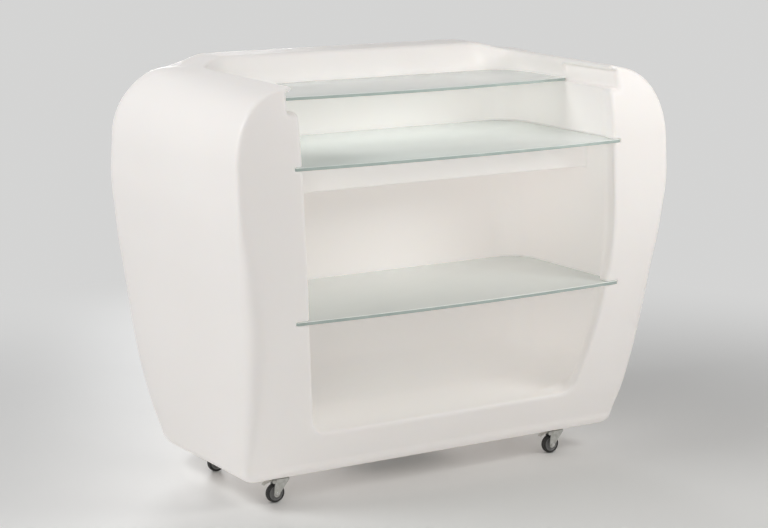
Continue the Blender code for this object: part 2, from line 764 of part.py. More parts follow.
plate_screw_places = [(sx * (plate_length / 2 - plate_screw_inset), sy * (plate_width / 2 - plate_screw_inset), 0.0)
                      for sx in (-1, 1) for sy in (-1, 1)]
plate_holder = add("plate_build", plate_mesh, home=cutters)
for i, (x, y, z) in enumerate(plate_screw_places):
    screw = add("plate_screw_%d" % i, plate_screw_mesh, place=(x, y, -plate_thickness / 2), home=cutters)
    cut(plate_holder, screw, "UNION")
screwed_plate_mesh = frozen(plate_holder, "castor_plate_with_screws")

rim_radius = wheel_radius - tyre_thickness
w = wheel_width / 2
tyre_profile = [(rim_radius, w * 0.8), (wheel_radius - tyre_thickness * 0.45, w), (wheel_radius - tyre_thickness * 0.1, w * 0.7),
                (wheel_radius, 0.0), (wheel_radius - tyre_thickness * 0.1, -w * 0.7),
                (wheel_radius - tyre_thickness * 0.45, -w), (rim_radius, -w * 0.8), (rim_radius, w * 0.8)]
tyre_mesh = smooth(turned_mesh("castor_tyre", tyre_profile, wheel_steps), 0.5)
core_r = rim_radius - seat_gap
bore_r = axle_diameter / 2 + axle_clearance
hub_h = w + hub_extra
core_profile = [(bore_r, hub_h), (hub_diameter / 2, hub_h), (hub_diameter / 2, w * 0.35), (core_r * 0.82, w * 0.35),
                (core_r * 0.88, w * 0.8), (core_r, w * 0.8), (core_r, -w * 0.8), (core_r * 0.88, -w * 0.8),
                (core_r * 0.82, -w * 0.35), (hub_diameter / 2, -w * 0.35), (hub_diameter / 2, -hub_h),
                (bore_r, -hub_h), (bore_r, hub_h)]
core_mesh = smooth(turned_mesh("castor_wheel", core_profile, wheel_steps), 0.5)
axle_end = fork_outer_half + seat_gap
axle_profile = [(0.0, axle_end + axle_head_height), (axle_head_diameter * 0.4, axle_end + axle_head_height),
                (axle_head_diameter / 2, axle_end + axle_head_height * 0.6), (axle_head_diameter / 2, axle_end),
                (axle_diameter / 2, axle_end), (axle_diameter / 2, -axle_end), (axle_head_diameter / 2, -axle_end),
                (axle_head_diameter / 2, -axle_end - axle_head_height * 0.6),
                (axle_head_diameter * 0.4, -axle_end - axle_head_height), (0.0, -axle_end - axle_head_height)]
axle_mesh = smooth(turned_mesh("castor_axle", axle_profile, 10), 0.5)

# Fork: two cheeks and a bridge, one solid. Its own frame has the swivel pin at X = 0, the trail towards -X
fork_front = fork_top_length * 0.45
cheek_drop = wheel_radius - fork_top


def fork_cheek():
    points = [(fork_front, 0.0), (fork_front, -fork_thickness * 2.2)]
    foot = arc(-trail, cheek_drop, fork_foot_radius, 0.25, -pi - 0.35, 8)
    points += foot
    points += [(-trail - fork_foot_radius * 0.55, -fork_thickness * 2.2), (-trail - fork_foot_radius * 0.2, 0.0)]
    return points


cheek_mesh = outline_mesh("fork_cheek", fork_cheek(), fork_thickness)
bridge_back = trail + fork_foot_radius * 0.2
upright = (pi / 2, 0, 0)
pedal_pivot_x = -trail - pedal_setback
pedal_pivot_z = -pedal_drop


def cross_hole(name, diameter, x, z):
    return add(name, round_bar(diameter / 2 + seat_gap, -fork_outer_half - 0.01, fork_outer_half + 0.01, 12),
               place=(x, 0, z), turn=upright, home=cutters)


def fork_mesh(name, braked):
    base = add(name + "_build", box_mesh(name, (-bridge_back, -fork_outer_half, -fork_thickness),
                                         (fork_front, fork_outer_half, 0.0)), home=cutters)
    for side in (-1, 1):
        cheek = add("%s_cheek_%d" % (name, side + 1), cheek_mesh,
                    place=(0, side * (fork_inner_half + fork_thickness / 2), 0), turn=upright, home=cutters)
        cut(base, cheek, "UNION")
        if braked:
            low, high = sorted((side * fork_inner_half, side * fork_outer_half))
            ear = add("%s_ear_%d" % (name, side + 1),
                      box_mesh("ear", (pedal_pivot_x - 0.0045, low, pedal_pivot_z - 0.0045),
                               (-trail + fork_foot_radius * 0.5, high, pedal_pivot_z + 0.0045)),
                      home=cutters)
            cut(base, ear, "UNION")
    pin_hole = add(name + "_pin_hole", round_bar(king_pin_diameter / 2 + seat_gap, -0.01, 0.01, 12), home=cutters)
    cut(base, pin_hole)
    cut(base, cross_hole(name + "_axle_hole", axle_diameter, -trail, cheek_drop))
    if braked:
        cut(base, cross_hole(name + "_pedal_hole", pedal_pin_diameter, pedal_pivot_x, pedal_pivot_z))
    return frozen(base, name)


plain_fork = fork_mesh("castor_fork", False)
brake_fork = fork_mesh("brake_castor_fork", True)

# Brake pedal over the wheel: tread, pivot eye and a shoe that stops just short of the tyre.
# Its own origin is the pivot, and its range ends when the shoe reaches the tyre
eye = pedal_pin_diameter * 0.85
tip = -pedal_length
pedal_outline = [(eye, -eye * 0.8), (eye, eye * 0.8), (-eye * 1.4, eye), (tip * 0.72, eye - pedal_thickness),
                 (tip, -pedal_thickness), (tip * 0.98, -pedal_thickness * 1.9), (tip * 0.70, -pedal_thickness * 0.6),
                 (tip * 0.40, -pedal_thickness * 0.2), (tip * 0.36, -shoe_depth * 0.83),
                 (tip * 0.17, -shoe_depth), (-0.001, -eye)]
pedal_base = outline_mesh("brake_pedal", pedal_outline, pedal_width)
pedal_base.transform(Matrix.Rotation(pi / 2, 4, "X"))
pedal_holder = add("pedal_build", pedal_base, home=cutters)
pedal_pin = add("pedal_pin_guide", round_bar(pedal_pin_diameter / 2, -fork_outer_half, fork_outer_half, 12),
                turn=upright, home=cutters)
cut(pedal_holder, pedal_pin, "UNION")
pedal_mesh = frozen(pedal_holder, "brake_pedal")

looks = {
    "plate": material("castor_zinc", steel_grey, 0.35, 1.0),
    "race": material("race_zinc", steel_grey, 0.35, 1.0),
    "pin": material("pin_steel", steel_grey, 0.3, 1.0),
    "fork": material("fork_zinc", steel_grey, 0.35, 1.0),
    "axle": material("axle_steel", steel_grey, 0.3, 1.0),
    "wheel": material("wheel_nylon", hub_grey, 0.5),
    "tyre": material("tyre_rubber", rubber_black, 0.6),
    "pedal": material("pedal_steel", steel_grey, 0.4, 1.0),
}
castors = {
    "front_left": (-castor_half_span, castor_front_y, True),
    "front_right": (castor_half_span, castor_front_y, True),
    "back_left": (-castor_half_span, castor_back_y, False),
    "back_right": (castor_half_span, castor_back_y, False),
}
for name, (x, y, braked) in castors.items():
    swivel = bpy.data.objects.new("swivel_axis_" + name, None)
    parts.objects.link(swivel)
    swivel.parent = counter_frame
    swivel.location = (x, y, 0)
    axle = bpy.data.objects.new("wheel_axis_" + name, None)
    parts.objects.link(axle)
    axle.parent = swivel
    axle.location = (-trail, 0, wheel_radius)
    axle.rotation_euler = (pi / 2, 0, 0)
    add("castor_plate_" + name, screwed_plate_mesh, looks["plate"], (x, y, plate_bottom + plate_thickness / 2))
    for i, (px, py, pz) in enumerate(plate_screw_places):
        hole = add("plate_hole_%s_%d" % (name, i),
                   round_bar(plate_screw_diameter / 2 + seat_gap, plate_bottom - 0.01,
                             plate_bottom + plate_screw_length + 0.001, 8),
                   place=(x + px, y + py, 0), home=cutters)
        cut(body, hole)
    add("castor_race_" + name, race_mesh, looks["race"], (x, y, race_top))
    add("king_pin_" + name, king_mesh, looks["pin"], (0, 0, 0), parent=swivel)
    add("castor_fork_" + name, brake_fork if braked else plain_fork, looks["fork"], (0, 0, fork_top), parent=swivel)
    add("castor_axle_" + name, axle_mesh, looks["axle"], parent=axle)
    add("castor_wheel_" + name, core_mesh, looks["wheel"], parent=axle)
    add("castor_tyre_" + name, tyre_mesh, looks["tyre"], parent=axle)
    if braked:
        add("brake_pedal_" + name, pedal_mesh, looks["pedal"],
            (pedal_pivot_x, 0, fork_top + pedal_pivot_z), parent=swivel)

# The middle of the depth, from the shelves' bow to the widest customer face, goes to Y = 0
counter_frame.location = (0, -(hip_back + shelf_front - glass_bow) / 2, 0)
print("objects:", len([o for o in parts.objects if o.type == "MESH"]))
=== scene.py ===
import json
from math import pi, radians

import bmesh
import bpy
import numpy as np
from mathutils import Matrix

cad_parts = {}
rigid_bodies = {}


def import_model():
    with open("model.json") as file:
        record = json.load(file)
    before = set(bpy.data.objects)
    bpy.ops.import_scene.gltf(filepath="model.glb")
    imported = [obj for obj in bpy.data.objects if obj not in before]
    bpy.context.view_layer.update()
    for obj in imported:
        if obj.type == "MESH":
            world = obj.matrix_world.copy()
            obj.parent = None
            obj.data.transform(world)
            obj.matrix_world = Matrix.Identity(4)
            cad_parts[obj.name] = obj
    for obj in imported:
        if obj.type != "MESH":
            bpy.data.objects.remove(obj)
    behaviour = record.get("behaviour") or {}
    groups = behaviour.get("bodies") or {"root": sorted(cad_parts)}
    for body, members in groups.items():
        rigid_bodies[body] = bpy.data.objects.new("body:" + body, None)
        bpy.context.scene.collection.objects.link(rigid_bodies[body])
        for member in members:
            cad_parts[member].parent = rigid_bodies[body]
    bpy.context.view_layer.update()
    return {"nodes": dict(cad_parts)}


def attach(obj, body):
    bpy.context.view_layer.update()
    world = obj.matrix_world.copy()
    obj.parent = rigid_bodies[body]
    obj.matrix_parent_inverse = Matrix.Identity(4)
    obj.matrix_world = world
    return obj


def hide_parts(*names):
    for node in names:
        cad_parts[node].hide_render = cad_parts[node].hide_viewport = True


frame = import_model()
print("frame loaded:", len(frame["nodes"]), "nodes")

depthShift = -0.3945    # shapes below are measured from the shelves' front plane; this centres them

# Camera, lamps and floor: metres, radians and watts, with the lens and its sensor in millimetres

viewSettings = {"place": (-2.9497, -4.7722, 1.6387), "turn": 0.5539, "tip": 0.1942, "lens": 99.75,
                "sensor": 36.0}
lampSettings = {
    "nearRight": {"place": (1.1, -1.7, 1.7), "aim": (0.1, 0.1, 0.6), "size": 1.0, "power": 17.0,
                  "tone": (1.0, 0.985, 0.96)},
    "leftHigh": {"place": (-2.6, 0.1, 2.7), "aim": (-0.5, 0.1, 0.6), "size": 1.4, "power": 41.0,
                 "tone": (1.0, 1.0, 1.0)},
    "leftFront": {"place": (-2.5, -2.9, 1.4), "aim": (0.2, 0.1, 0.6), "size": 1.6, "power": 17.0,
                  "tone": (1.0, 0.99, 0.97)},
    "behind": {"place": (1.2, 3.4, 0.8), "aim": (0.0, 0.2, 0.6), "size": 1.2, "power": 45.0,
               "tone": (0.98, 0.99, 1.0)},
}
# The light that satin glass lets through into the bay below; rendered glass passes too little of it
bayLampSettings = {
    "underTop": {"place": (0.0, -0.05, 1.008), "aim": (0.0, -0.05, 0.875), "size": (0.85, 0.28),
                 "power": 0.28, "tone": (1.0, 0.985, 0.985)},
    "underMiddle": {"place": (0.0, -0.375, 0.862), "aim": (0.0, -0.12, 0.76), "size": (0.85, 0.05),
                    "power": 0.12, "tone": (1.0, 0.98, 0.965)},
}
floorSettings = {"reach": 40.0, "tone": (0.86, 0.86, 0.85), "dullShare": 0.985, "toneScale": 1.5,
                 "rough": 0.6, "shine": 0.2, "sky": (0.66, 0.66, 0.655), "skyLight": 0.13,
                 "fadeFrom": 0.75, "fadeTo": 2.6}

scene = bpy.context.scene
scene.view_settings.view_transform = "Standard"

cameraData = bpy.data.cameras.new("photoView")
cameraData.lens = viewSettings["lens"]
cameraData.sensor_width = viewSettings["sensor"]
camera = bpy.data.objects.new("photoView", cameraData)
scene.collection.objects.link(camera)
camera.location = viewSettings["place"]
camera.rotation_euler = (pi / 2 - viewSettings["tip"], 0.0, -viewSettings["turn"])
scene.camera = camera


def addLamp(name, settings, shape):
    data = bpy.data.lights.new(name, "AREA")
    data.shape = shape
    data.energy = settings["power"]
    data.color = settings["tone"]
    lamp = bpy.data.objects.new(name, data)
    scene.collection.objects.link(lamp)
    x, y, z = np.array(settings["place"]) - np.array(settings["aim"])
    lamp.location = settings["place"]
    lamp.rotation_euler = (np.arctan2(np.hypot(x, y), z), 0.0, np.arctan2(x, -y))
    return lamp


for lampName, settings in lampSettings.items():
    disc = addLamp(lampName, settings, "DISK")
    disc.data.size = settings["size"]
for lampName, settings in bayLampSettings.items():
    panel = addLamp(lampName, settings, "RECTANGLE")
    panel.data.size, panel.data.size_y = settings["size"]
    panel.visible_glossy = False
    panel.visible_transmission = False


def setInputs(node, values):
    for name, value in values.items():
        node.inputs[name].default_value = value


def addNode(tree, kind, values=None):
    node = tree.nodes.new("ShaderNode" + kind)
    if values:
        setInputs(node, values)
    return node


def seenShare(tree):
    # 1 for what is seen straight, in a mirror or through glass, 0 for what only sends light
    rays = addNode(tree, "LightPath")
    seen = rays.outputs["Is Camera Ray"]
    for way in ("Is Glossy Ray", "Is Transmission Ray"):
        either = addNode(tree, "Math")
        either.operation = "MAXIMUM"
        tree.links.new(seen, either.inputs[0])
        tree.links.new(rays.outputs[way], either.inputs[1])
        seen = either.outputs[0]
    return seen


def makeSky():
    # The backdrop's own tone where it is seen, and a weaker white light on the scene
    s = floorSettings
    world = bpy.data.worlds.new("studio")
    scene.world = world
    world.use_nodes = True
    tree = world.node_tree
    tree.nodes.clear()
    light = addNode(tree, "Background", {"Color": (1.0, 1.0, 1.0, 1.0), "Strength": s["skyLight"]})
    backdrop = addNode(tree, "Background", {"Color": (*s["sky"], 1.0)})
    mix = addNode(tree, "MixShader")
    out = addNode(tree, "OutputWorld")
    tree.links.new(seenShare(tree), mix.inputs[0])
    tree.links.new(light.outputs[0], mix.inputs[1])
    tree.links.new(backdrop.outputs[0], mix.inputs[2])
    tree.links.new(mix.outputs[0], out.inputs[0])


makeSky()


# Materials: all read Object coordinates in metres

def startMaterial(name, colour, roughness, metallic=0.0):
    material = bpy.data.materials.new(name)
    material.use_nodes = True
    shader = material.node_tree.nodes["Principled BSDF"]
    setInputs(shader, {"Base Color": (*colour, 1.0), "Roughness": roughness, "Metallic": metallic})
    return material, material.node_tree, shader


def noiseOn(tree, scale, detail=2.0, stretch=(1.0, 1.0, 1.0)):
    place = addNode(tree, "TexCoord")
    mapping = addNode(tree, "Mapping", {"Scale": stretch})
    noise = addNode(tree, "TexNoise", {"Scale": scale, "Detail": detail})
    tree.links.new(place.outputs["Object"], mapping.inputs["Vector"])
    tree.links.new(mapping.outputs["Vector"], noise.inputs["Vector"])
    return noise.outputs["Fac"]


def spread(tree, factor, low, high, fromLow=0.3, fromHigh=0.7):
    limits = {"From Min": fromLow, "From Max": fromHigh, "To Min": low, "To Max": high}
    remap = addNode(tree, "MapRange", limits)
    remap.interpolation_type = "SMOOTHSTEP"
    tree.links.new(factor, remap.inputs["Value"])
    return remap.outputs["Result"]


def tintBy(tree, shader, factor, first, second):
    # The base colour drifts from one tone to the other
    ramp = addNode(tree, "ValToRGB")
    for stop, place, tone in zip(ramp.color_ramp.elements, (0.35, 0.65), (first, second)):
        stop.position = place
        stop.color = (*tone, 1.0)
    tree.links.new(factor, ramp.inputs["Fac"])
    tree.links.new(ramp.outputs["Color"], shader.inputs["Base Color"])


def roughenBy(tree, shader, factor, rough):
    tree.links.new(spread(tree, factor, *rough), shader.inputs["Roughness"])


def raiseBy(tree, shader, layers):
    # layers: (height output, distance in metres, strength), laid one on another
    normal = None
    for height, distance, strength in layers:
        bump = addNode(tree, "Bump", {"Distance": distance, "Strength": strength})
        tree.links.new(height, bump.inputs["Height"])
        if normal is not None:
            tree.links.new(normal, bump.inputs["Normal"])
        normal = bump.outputs["Normal"]
    tree.links.new(normal, shader.inputs["Normal"])


polySettings = {
    "bright": (0.905, 0.883, 0.862), "dull": (0.886, 0.861, 0.837), "toneScale": 2.3,
    "rough": (0.4, 0.52), "roughScale": 7.0, "wave": 9.0, "waveHeight": 0.0012, "waveStrength": 0.25,
    "grain": 1300.0, "grainHeight": 0.00012, "grainStrength": 0.35, "index": 1.5, "glow": 0.172,
    "glowTone": (1.0, 0.935, 0.905), "depth": 0.02, "depthShare": 0.18, "depthByColour": (1.0, 0.8, 0.6),
}
glassSettings = {
    "dullShare": 0.985, "toneScale": 3.0, "index": 1.5, "through": 0.15, "glowTone": (0.93, 1.0, 0.955),
    "rough": (0.16, 0.18), "roughScale": 12.0, "grain": 2600.0, "grainHeight": 0.00001, "grainStrength": 0.1,
}
glassEdgeSettings = {
    "tone": (0.68, 0.78, 0.745), "bright": (0.69, 0.785, 0.75), "dull": (0.6, 0.71, 0.675), "rough": 0.12,
    "toneScale": 22.0, "toneStretch": (1.0, 1.0, 6.0), "index": 1.5, "through": 0.3,
    "grain": 900.0, "grainStretch": (0.2, 0.2, 1.0), "grainHeight": 0.00002, "grainStrength": 0.2,
}
# Surfaces of the small parts: detail of the tone's noise, how much finer the sheen's is, and the grain
metal = {"metallic": 1.0, "detail": 4.0, "finer": 1.7, "height": 0.00003, "strength": 0.3}
plastic = {"metallic": 0.0, "detail": 3.0, "finer": 2.1, "height": 0.00005, "strength": 0.4}
smooth = {**plastic, "height": 0.00002}


def makeMouldedWhite():
    # Rotomoulded polyethylene, lit from within: slow tone drift, satin sheen, fine grain, slight waviness
    s = polySettings
    material, tree, shader = startMaterial("mouldedPolyethylene", s["bright"], s["rough"][0])
    tintBy(tree, shader, noiseOn(tree, s["toneScale"], 3.0), s["bright"], s["dull"])
    roughenBy(tree, shader, noiseOn(tree, s["roughScale"], 4.0), s["rough"])
    setInputs(shader, {"IOR": s["index"], "Emission Color": (*s["glowTone"], 1.0),
                       "Emission Strength": s["glow"], "Subsurface Weight": s["depthShare"],
                       "Subsurface Radius": s["depthByColour"], "Subsurface Scale": s["depth"]})
    raiseBy(tree, shader, [(noiseOn(tree, s["wave"], 1.0), s["waveHeight"], s["waveStrength"]),
                           (noiseOn(tree, s["grain"], 2.0), s["grainHeight"], s["grainStrength"])])
    return material


def makeFrostedGlass(name, tone, glow):
    # Satin glass: pale, slightly green, with the etch's fine grain, and a painted glow standing for the
    # body's light that passes up through the pane
    s = glassSettings
    material, tree, shader = startMaterial(name, tone, s["rough"][0])
    dull = tuple(part * s["dullShare"] for part in tone)
    tintBy(tree, shader, noiseOn(tree, s["toneScale"], 2.0), tone, dull)
    setInputs(shader, {"IOR": s["index"], "Transmission Weight": s["through"],
                       "Emission Color": (*s["glowTone"], 1.0), "Emission Strength": glow})
    roughenBy(tree, shader, noiseOn(tree, s["roughScale"], 2.0), s["rough"])
    raiseBy(tree, shader, [(noiseOn(tree, s["grain"], 2.0), s["grainHeight"], s["grainStrength"])])
    return material


def makeGlassEdge():
    # Ground and polished edge: the pale green of the glass seen along the pane
    s = glassEdgeSettings
    material, tree, shader = startMaterial("polishedGlassEdge", s["tone"], s["rough"])
    streaks = noiseOn(tree, s["toneScale"], 2.0, s["toneStretch"])
    tintBy(tree, shader, streaks, s["bright"], s["dull"])
    setInputs(shader, {"IOR": s["index"], "Transmission Weight": s["through"]})
    grain = noiseOn(tree, s["grain"], 2.0, s["grainStretch"])
    raiseBy(tree, shader, [(grain, s["grainHeight"], s["grainStrength"])])
    return material


def makeGrained(kind, name, bright, dull, rough, scale, grain):
    # Two tones, a sheen uneven at a finer scale, and a fine grain
    material, tree, shader = startMaterial(name, bright, rough[1], kind["metallic"])
    tintBy(tree, shader, noiseOn(tree, scale, kind["detail"]), bright, dull)
    roughenBy(tree, shader, noiseOn(tree, scale * kind["finer"], kind["detail"] + 1.0), rough)
    raiseBy(tree, shader, [(noiseOn(tree, grain, 2.0), kind["height"], kind["strength"])])
    return material


mouldedWhite = makeMouldedWhite()
frostedGlass = makeFrostedGlass("satinGlass", (0.87, 0.91, 0.885), 0.045)
# The low pane: a darker copy of the satin glass, painted shade of the middle pane above it, with a weaker
# painted glow, as it has no lit deck under it
lowGlassPaintedShade = makeFrostedGlass("satinGlassLowPaintedShade", (0.81, 0.85, 0.825), 0.03)
# Painted highlight: the ground bevel is paler, as ground glass is, and glows more, for the line of light it
# catches along the pane's rim
bevelPaintedHighlight = makeFrostedGlass("groundGlassBevelHighlight", (0.93, 0.955, 0.94), 0.2)
glassEdge = makeGlassEdge()
zincPlate = makeGrained(metal, "zincPlatedSteel", (0.62, 0.62, 0.6), (0.5, 0.5, 0.47), (0.28, 0.46), 120.0,
                        2200.0)
brightPin = makeGrained(metal, "brightSteelPins", (0.66, 0.66, 0.65), (0.56, 0.56, 0.55), (0.2, 0.32), 240.0,
                        3000.0)
rubberBlack = makeGrained(plastic, "tyreRubber", (0.022, 0.022, 0.022), (0.04, 0.039, 0.038), (0.52, 0.72),
                          90.0, 1900.0)
hubGrey = makeGrained(plastic, "nylonHub", (0.27, 0.27, 0.27), (0.21, 0.21, 0.21), (0.38, 0.52), 110.0,
                      1700.0)
sealBlack = makeGrained(plastic, "hatchSealRubber", (0.03, 0.03, 0.03), (0.045, 0.045, 0.044), (0.6, 0.78),
                        80.0, 1500.0)
glandBlack = makeGrained(plastic, "glandPolyamide", (0.035, 0.035, 0.036), (0.05, 0.05, 0.05), (0.42, 0.55),
                         120.0, 2100.0)
holderWhite = makeGrained(plastic, "holderThermoset", (0.78, 0.78, 0.74), (0.72, 0.72, 0.68), (0.34, 0.46),
                          80.0, 1800.0)
opalWhite = makeGrained(smooth, "opalLampCover", (0.86, 0.86, 0.83), (0.83, 0.83, 0.79), (0.22, 0.3), 60.0,
                        1200.0)


def makePaleFloor():
    # Matt pale floor, which is seen fading far out into the backdrop's own tone
    s = floorSettings
    material, tree, shader = startMaterial("paleFloor", s["tone"], s["rough"])
    dull = tuple(part * s["dullShare"] for part in s["tone"])
    tintBy(tree, shader, noiseOn(tree, s["toneScale"], 3.0), s["tone"], dull)
    setInputs(shader, {"Specular IOR Level": s["shine"]})
    place = addNode(tree, "TexCoord")
    reach = addNode(tree, "VectorMath")
    reach.operation = "LENGTH"
    tree.links.new(place.outputs["Object"], reach.inputs[0])
    far = spread(tree, reach.outputs["Value"], 0.0, 1.0, s["fadeFrom"], s["fadeTo"])
    share = addNode(tree, "Math")
    share.operation = "MULTIPLY"
    tree.links.new(far, share.inputs[0])
    tree.links.new(seenShare(tree), share.inputs[1])
    glow = addNode(tree, "Emission", {"Color": (*s["sky"], 1.0)})
    mix = addNode(tree, "MixShader")
    tree.links.new(share.outputs[0], mix.inputs[0])
    tree.links.new(shader.outputs[0], mix.inputs[1])
    tree.links.new(glow.outputs[0], mix.inputs[2])
    tree.links.new(mix.outputs[0], tree.nodes["Material Output"].inputs["Surface"])
    return material


floorPale = makePaleFloor()
print("materials made")


# Mesh makers

def meshObject(name, points, faces, look, body, nodes=(), tidy=True):
    # A smooth-shaded object at the origin, riding on its body
    mesh = bpy.data.meshes.new(name)
    mesh.from_pydata(np.asarray(points, dtype=float).tolist(), [], faces)
    if tidy:
        shape = bmesh.new()
        shape.from_mesh(mesh)
        bmesh.ops.remove_doubles(shape, verts=shape.verts, dist=1e-6)
        bmesh.ops.dissolve_degenerate(shape, edges=shape.edges, dist=1e-7)
        bmesh.ops.recalc_face_normals(shape, faces=shape.faces)
        shape.to_mesh(mesh)
        shape.free()
    mesh.materials.append(look)
    mesh.shade_smooth()
    piece = bpy.data.objects.new(name, mesh)
    scene.collection.objects.link(piece)
    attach(piece, body)
    if nodes:
        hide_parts(*nodes)
    return piece


def gridFaces(rows, columns, wrapRows=False, wrapColumns=False):
    # Quads over a grid of points numbered row by row
    r = np.arange(rows if wrapRows else rows - 1)
    c = np.arange(columns if wrapColumns else columns - 1)
    r, c = [part.ravel() for part in np.meshgrid(r, c, indexing="ij")]
    nextR, nextC = (r + 1) % rows, (c + 1) % columns
    quads = [r * columns + c, r * columns + nextC, nextR * columns + nextC, nextR * columns + c]
    return np.stack(quads, axis=1).tolist()


def gridPoints(x, y, z):
    return np.stack(np.broadcast_arrays(x, y, z), axis=2).reshape(-1, 3)


def turned(profile, steps):
    # Surface of revolution: angle by profile point, (radius, height) pairs about Z
    radius, height = np.asarray(profile, dtype=float).T
    angle = np.linspace(0.0, 2 * pi, steps, endpoint=False)[:, None]
    points = gridPoints(radius * np.cos(angle), radius * np.sin(angle), height)
    return points, gridFaces(steps, len(profile), wrapRows=True)


def turnedClosed(profile, steps):
    return turned(np.concatenate([profile, profile[:1]]), steps)


def rounded(profile, radius, steps=4, closed=False):
    # Replaces each corner of a profile by a parabolic arc that starts radius away from it
    profile = np.asarray(profile, dtype=float)
    count = len(profile)
    out = []
    for i in range(count):
        here = profile[i]
        if not closed and i in (0, count - 1):
            out.append(here[None, :])
            continue
        before, after = profile[i - 1] - here, profile[(i + 1) % count] - here
        reach = min(radius, np.hypot(*before) * 0.45, np.hypot(*after) * 0.45)
        a, b = here + before / np.hypot(*before) * reach, here + after / np.hypot(*after) * reach
        t = np.linspace(0.0, 1.0, steps + 1)[:, None]
        out.append((1 - t) ** 2 * a + 2 * t * (1 - t) * here + t ** 2 * b)
    return np.concatenate(out)


def ringStack(outline, inset, height):
    # Copies of an anticlockwise outline, each drawn in by its inset, with a flat cap on each end
    outline = np.asarray(outline, dtype=float)
    along = np.roll(outline, -1, axis=0) - np.roll(outline, 1, axis=0)
    along /= np.hypot(along[:, 0], along[:, 1])[:, None]
    outward = np.stack([along[:, 1], -along[:, 0]], axis=1)
    x, y = [outline[:, n] - outward[:, n] * inset[:, None] for n in (0, 1)]
    count, size = x.shape
    faces = gridFaces(count, size, wrapColumns=True)
    faces += [list(range(size))[::-1], list(range((count - 1) * size, count * size))]
    return gridPoints(x, y, height[:, None]), faces


def rimRings(low, high, edge):
    # Insets and heights of the rings that round a plate's two rims by edge
    turn = np.linspace(0.0, pi / 2, 4)
    inset = np.concatenate([edge * (1 - np.sin(turn)), edge * (1 - np.cos(turn))])
    return inset, np.concatenate([low + edge * (1 - np.cos(turn)), high - edge * (1 - np.sin(turn))])


def plateSolid(outline, low, high, edge):
    return ringStack(outline, *rimRings(low, high, edge))


def roundedBox(length, width, radius):
    # Rectangle outline with round corners, anticlockwise
    turn = np.linspace(0.0, pi / 2, 9)
    a, b = length / 2 - radius, width / 2 - radius
    corners = [(a, -b, -pi / 2), (a, b, 0.0), (-a, b, pi / 2), (-a, -b, pi)]
    return np.concatenate([np.stack([x + radius * np.cos(s + turn), y + radius * np.sin(s + turn)], axis=1)
                           for x, y, s in corners])


def hexagon(radius, edge):
    angle = np.arange(6) * pi / 3
    return rounded(np.stack([radius * np.cos(angle), radius * np.sin(angle)], axis=1), edge, 3, closed=True)


def placed(points, place, axis="Z"):
    # Turns a piece made about Z so that it lies along Y, if need be, then moves it
    points = np.asarray(points, dtype=float)
    if axis == "Y":
        points = points[:, [0, 2, 1]] * np.array([1.0, 1.0, -1.0])
    return points + np.array(place)


def joined(parts):
    # Several point and face sets as one
    points, faces, start = [], [], 0
    for partPoints, partFaces in parts:
        points.append(np.asarray(partPoints))
        faces += [[start + i for i in face] for face in partFaces]
        start += len(partPoints)
    return np.concatenate(points), faces


# The moulded body. Curves of height: half length, service face, customer face, front corner radius

bodySettings = {
    "baseHeight": 0.075, "heelHeight": 0.107, "shoulderHeight": 0.885, "crestHeight": 1.085,
    "rimRise": 0.015, "riseStart": 0.39, "riseEnd": 0.556, "riseHalf": 0.49, "riseBlend": 0.1,
    "dipHalf": 0.5, "dipBlend": 0.08, "endSwell": 0.9,
    "ridgeShare": 0.4, "ridgeHalf": 0.52, "ridgeBlend": 0.045, "crestFall": 0.0165, "fallEnd": 0.87,
    "baseHalf": 0.538, "crestHalf": 0.49, "baseFront": 0.15, "crestLean": 0.033, "leanPower": 1.3,
    "baseBack": 0.66, "rimBack": 0.676, "backPower": 2.4, "backCorner": 0.12,
    "frontCrestEdge": 0.01, "backCrestEdge": 0.014,
    "levels": (0.107, 0.2, 0.35, 0.5, 0.65, 0.8, 0.885),
    "half": (0.5705, 0.587, 0.604, 0.616, 0.633, 0.646, 0.646),
    "front": (0.118, 0.076, 0.032, 0.003, -0.011, -0.003, 0.003),
    "back": (0.686, 0.727, 0.77, 0.796, 0.808, 0.807, 0.796),
    "corner": (0.014, 0.032, 0.046, 0.049, 0.035, 0.011, 0.011),
}
baySettings = {
    "floorHeight": 0.196, "lipDepth": 0.02, "lipBlend": 0.055, "half": 0.481, "grooveHalf": 0.4935,
    "crestHalf": 0.478, "leg": (0.186, 0.186, 0.176, 0.166, 0.171, 0.181, 0.179),
    "corner": 0.1, "floorCorner": 0.035, "floorFillet": 0.1, "ledge": 0.015, "ledgeEdge": 0.001,
    "wideFrom": 1.012, "wideBlend": 0.006, "crestFrom": 1.022, "crestTo": 1.07,
    "levels": (0.196, 0.497, 0.875, 1.015, 1.085), "back": (0.412, 0.4535, 0.5165, 0.5315, 0.557),
    "lipEdge": 0.01, "rimEdge": 0.008, "rimFrom": 1.04, "rimBlend": 0.03,
    "deckSetback": 0.137, "deckThickness": 0.079, "deckEdge": 0.003, "deckFillet": 0.006,
}
shelfSettings = {
    "thickness": 0.008, "backCorner": 0.098, "lift": 0.0003, "clearance": 0.0015, "headroom": 0.0022,
    "grooveEdge": 0.001, "edge": 0.0009, "bevel": 0.005, "bevelDrop": 0.0005,
    "bowPoints": 61, "frontPoints": 13, "sidePoints": 12, "backPoints": 29,
    "low": {"height": 0.497, "front": 0.001, "back": 0.452, "bow": 0.02, "half": 0.488, "corner": 0.006},
    "middle": {"height": 0.875, "front": 0.001, "back": 0.515, "bow": 0.02, "half": 0.488, "corner": 0.006},
    "top": {"height": 1.015, "front": 0.245, "back": 0.53, "bow": 0.03, "half": 0.49, "corner": 0.01},
}
pocketSettings = {"half": 0.4935, "length": 0.255, "height": 0.047, "corner": 0.003, "edge": 0.003,
                  "mouthEdge": 0.018, "mouthFrom": 0.01, "mouthReach": 0.07}
lampBaySettings = {"length": 0.24, "width": 0.11, "depth": 0.072, "y": 0.345, "corner": 0.012}
shelfNames = ("low", "middle", "top")


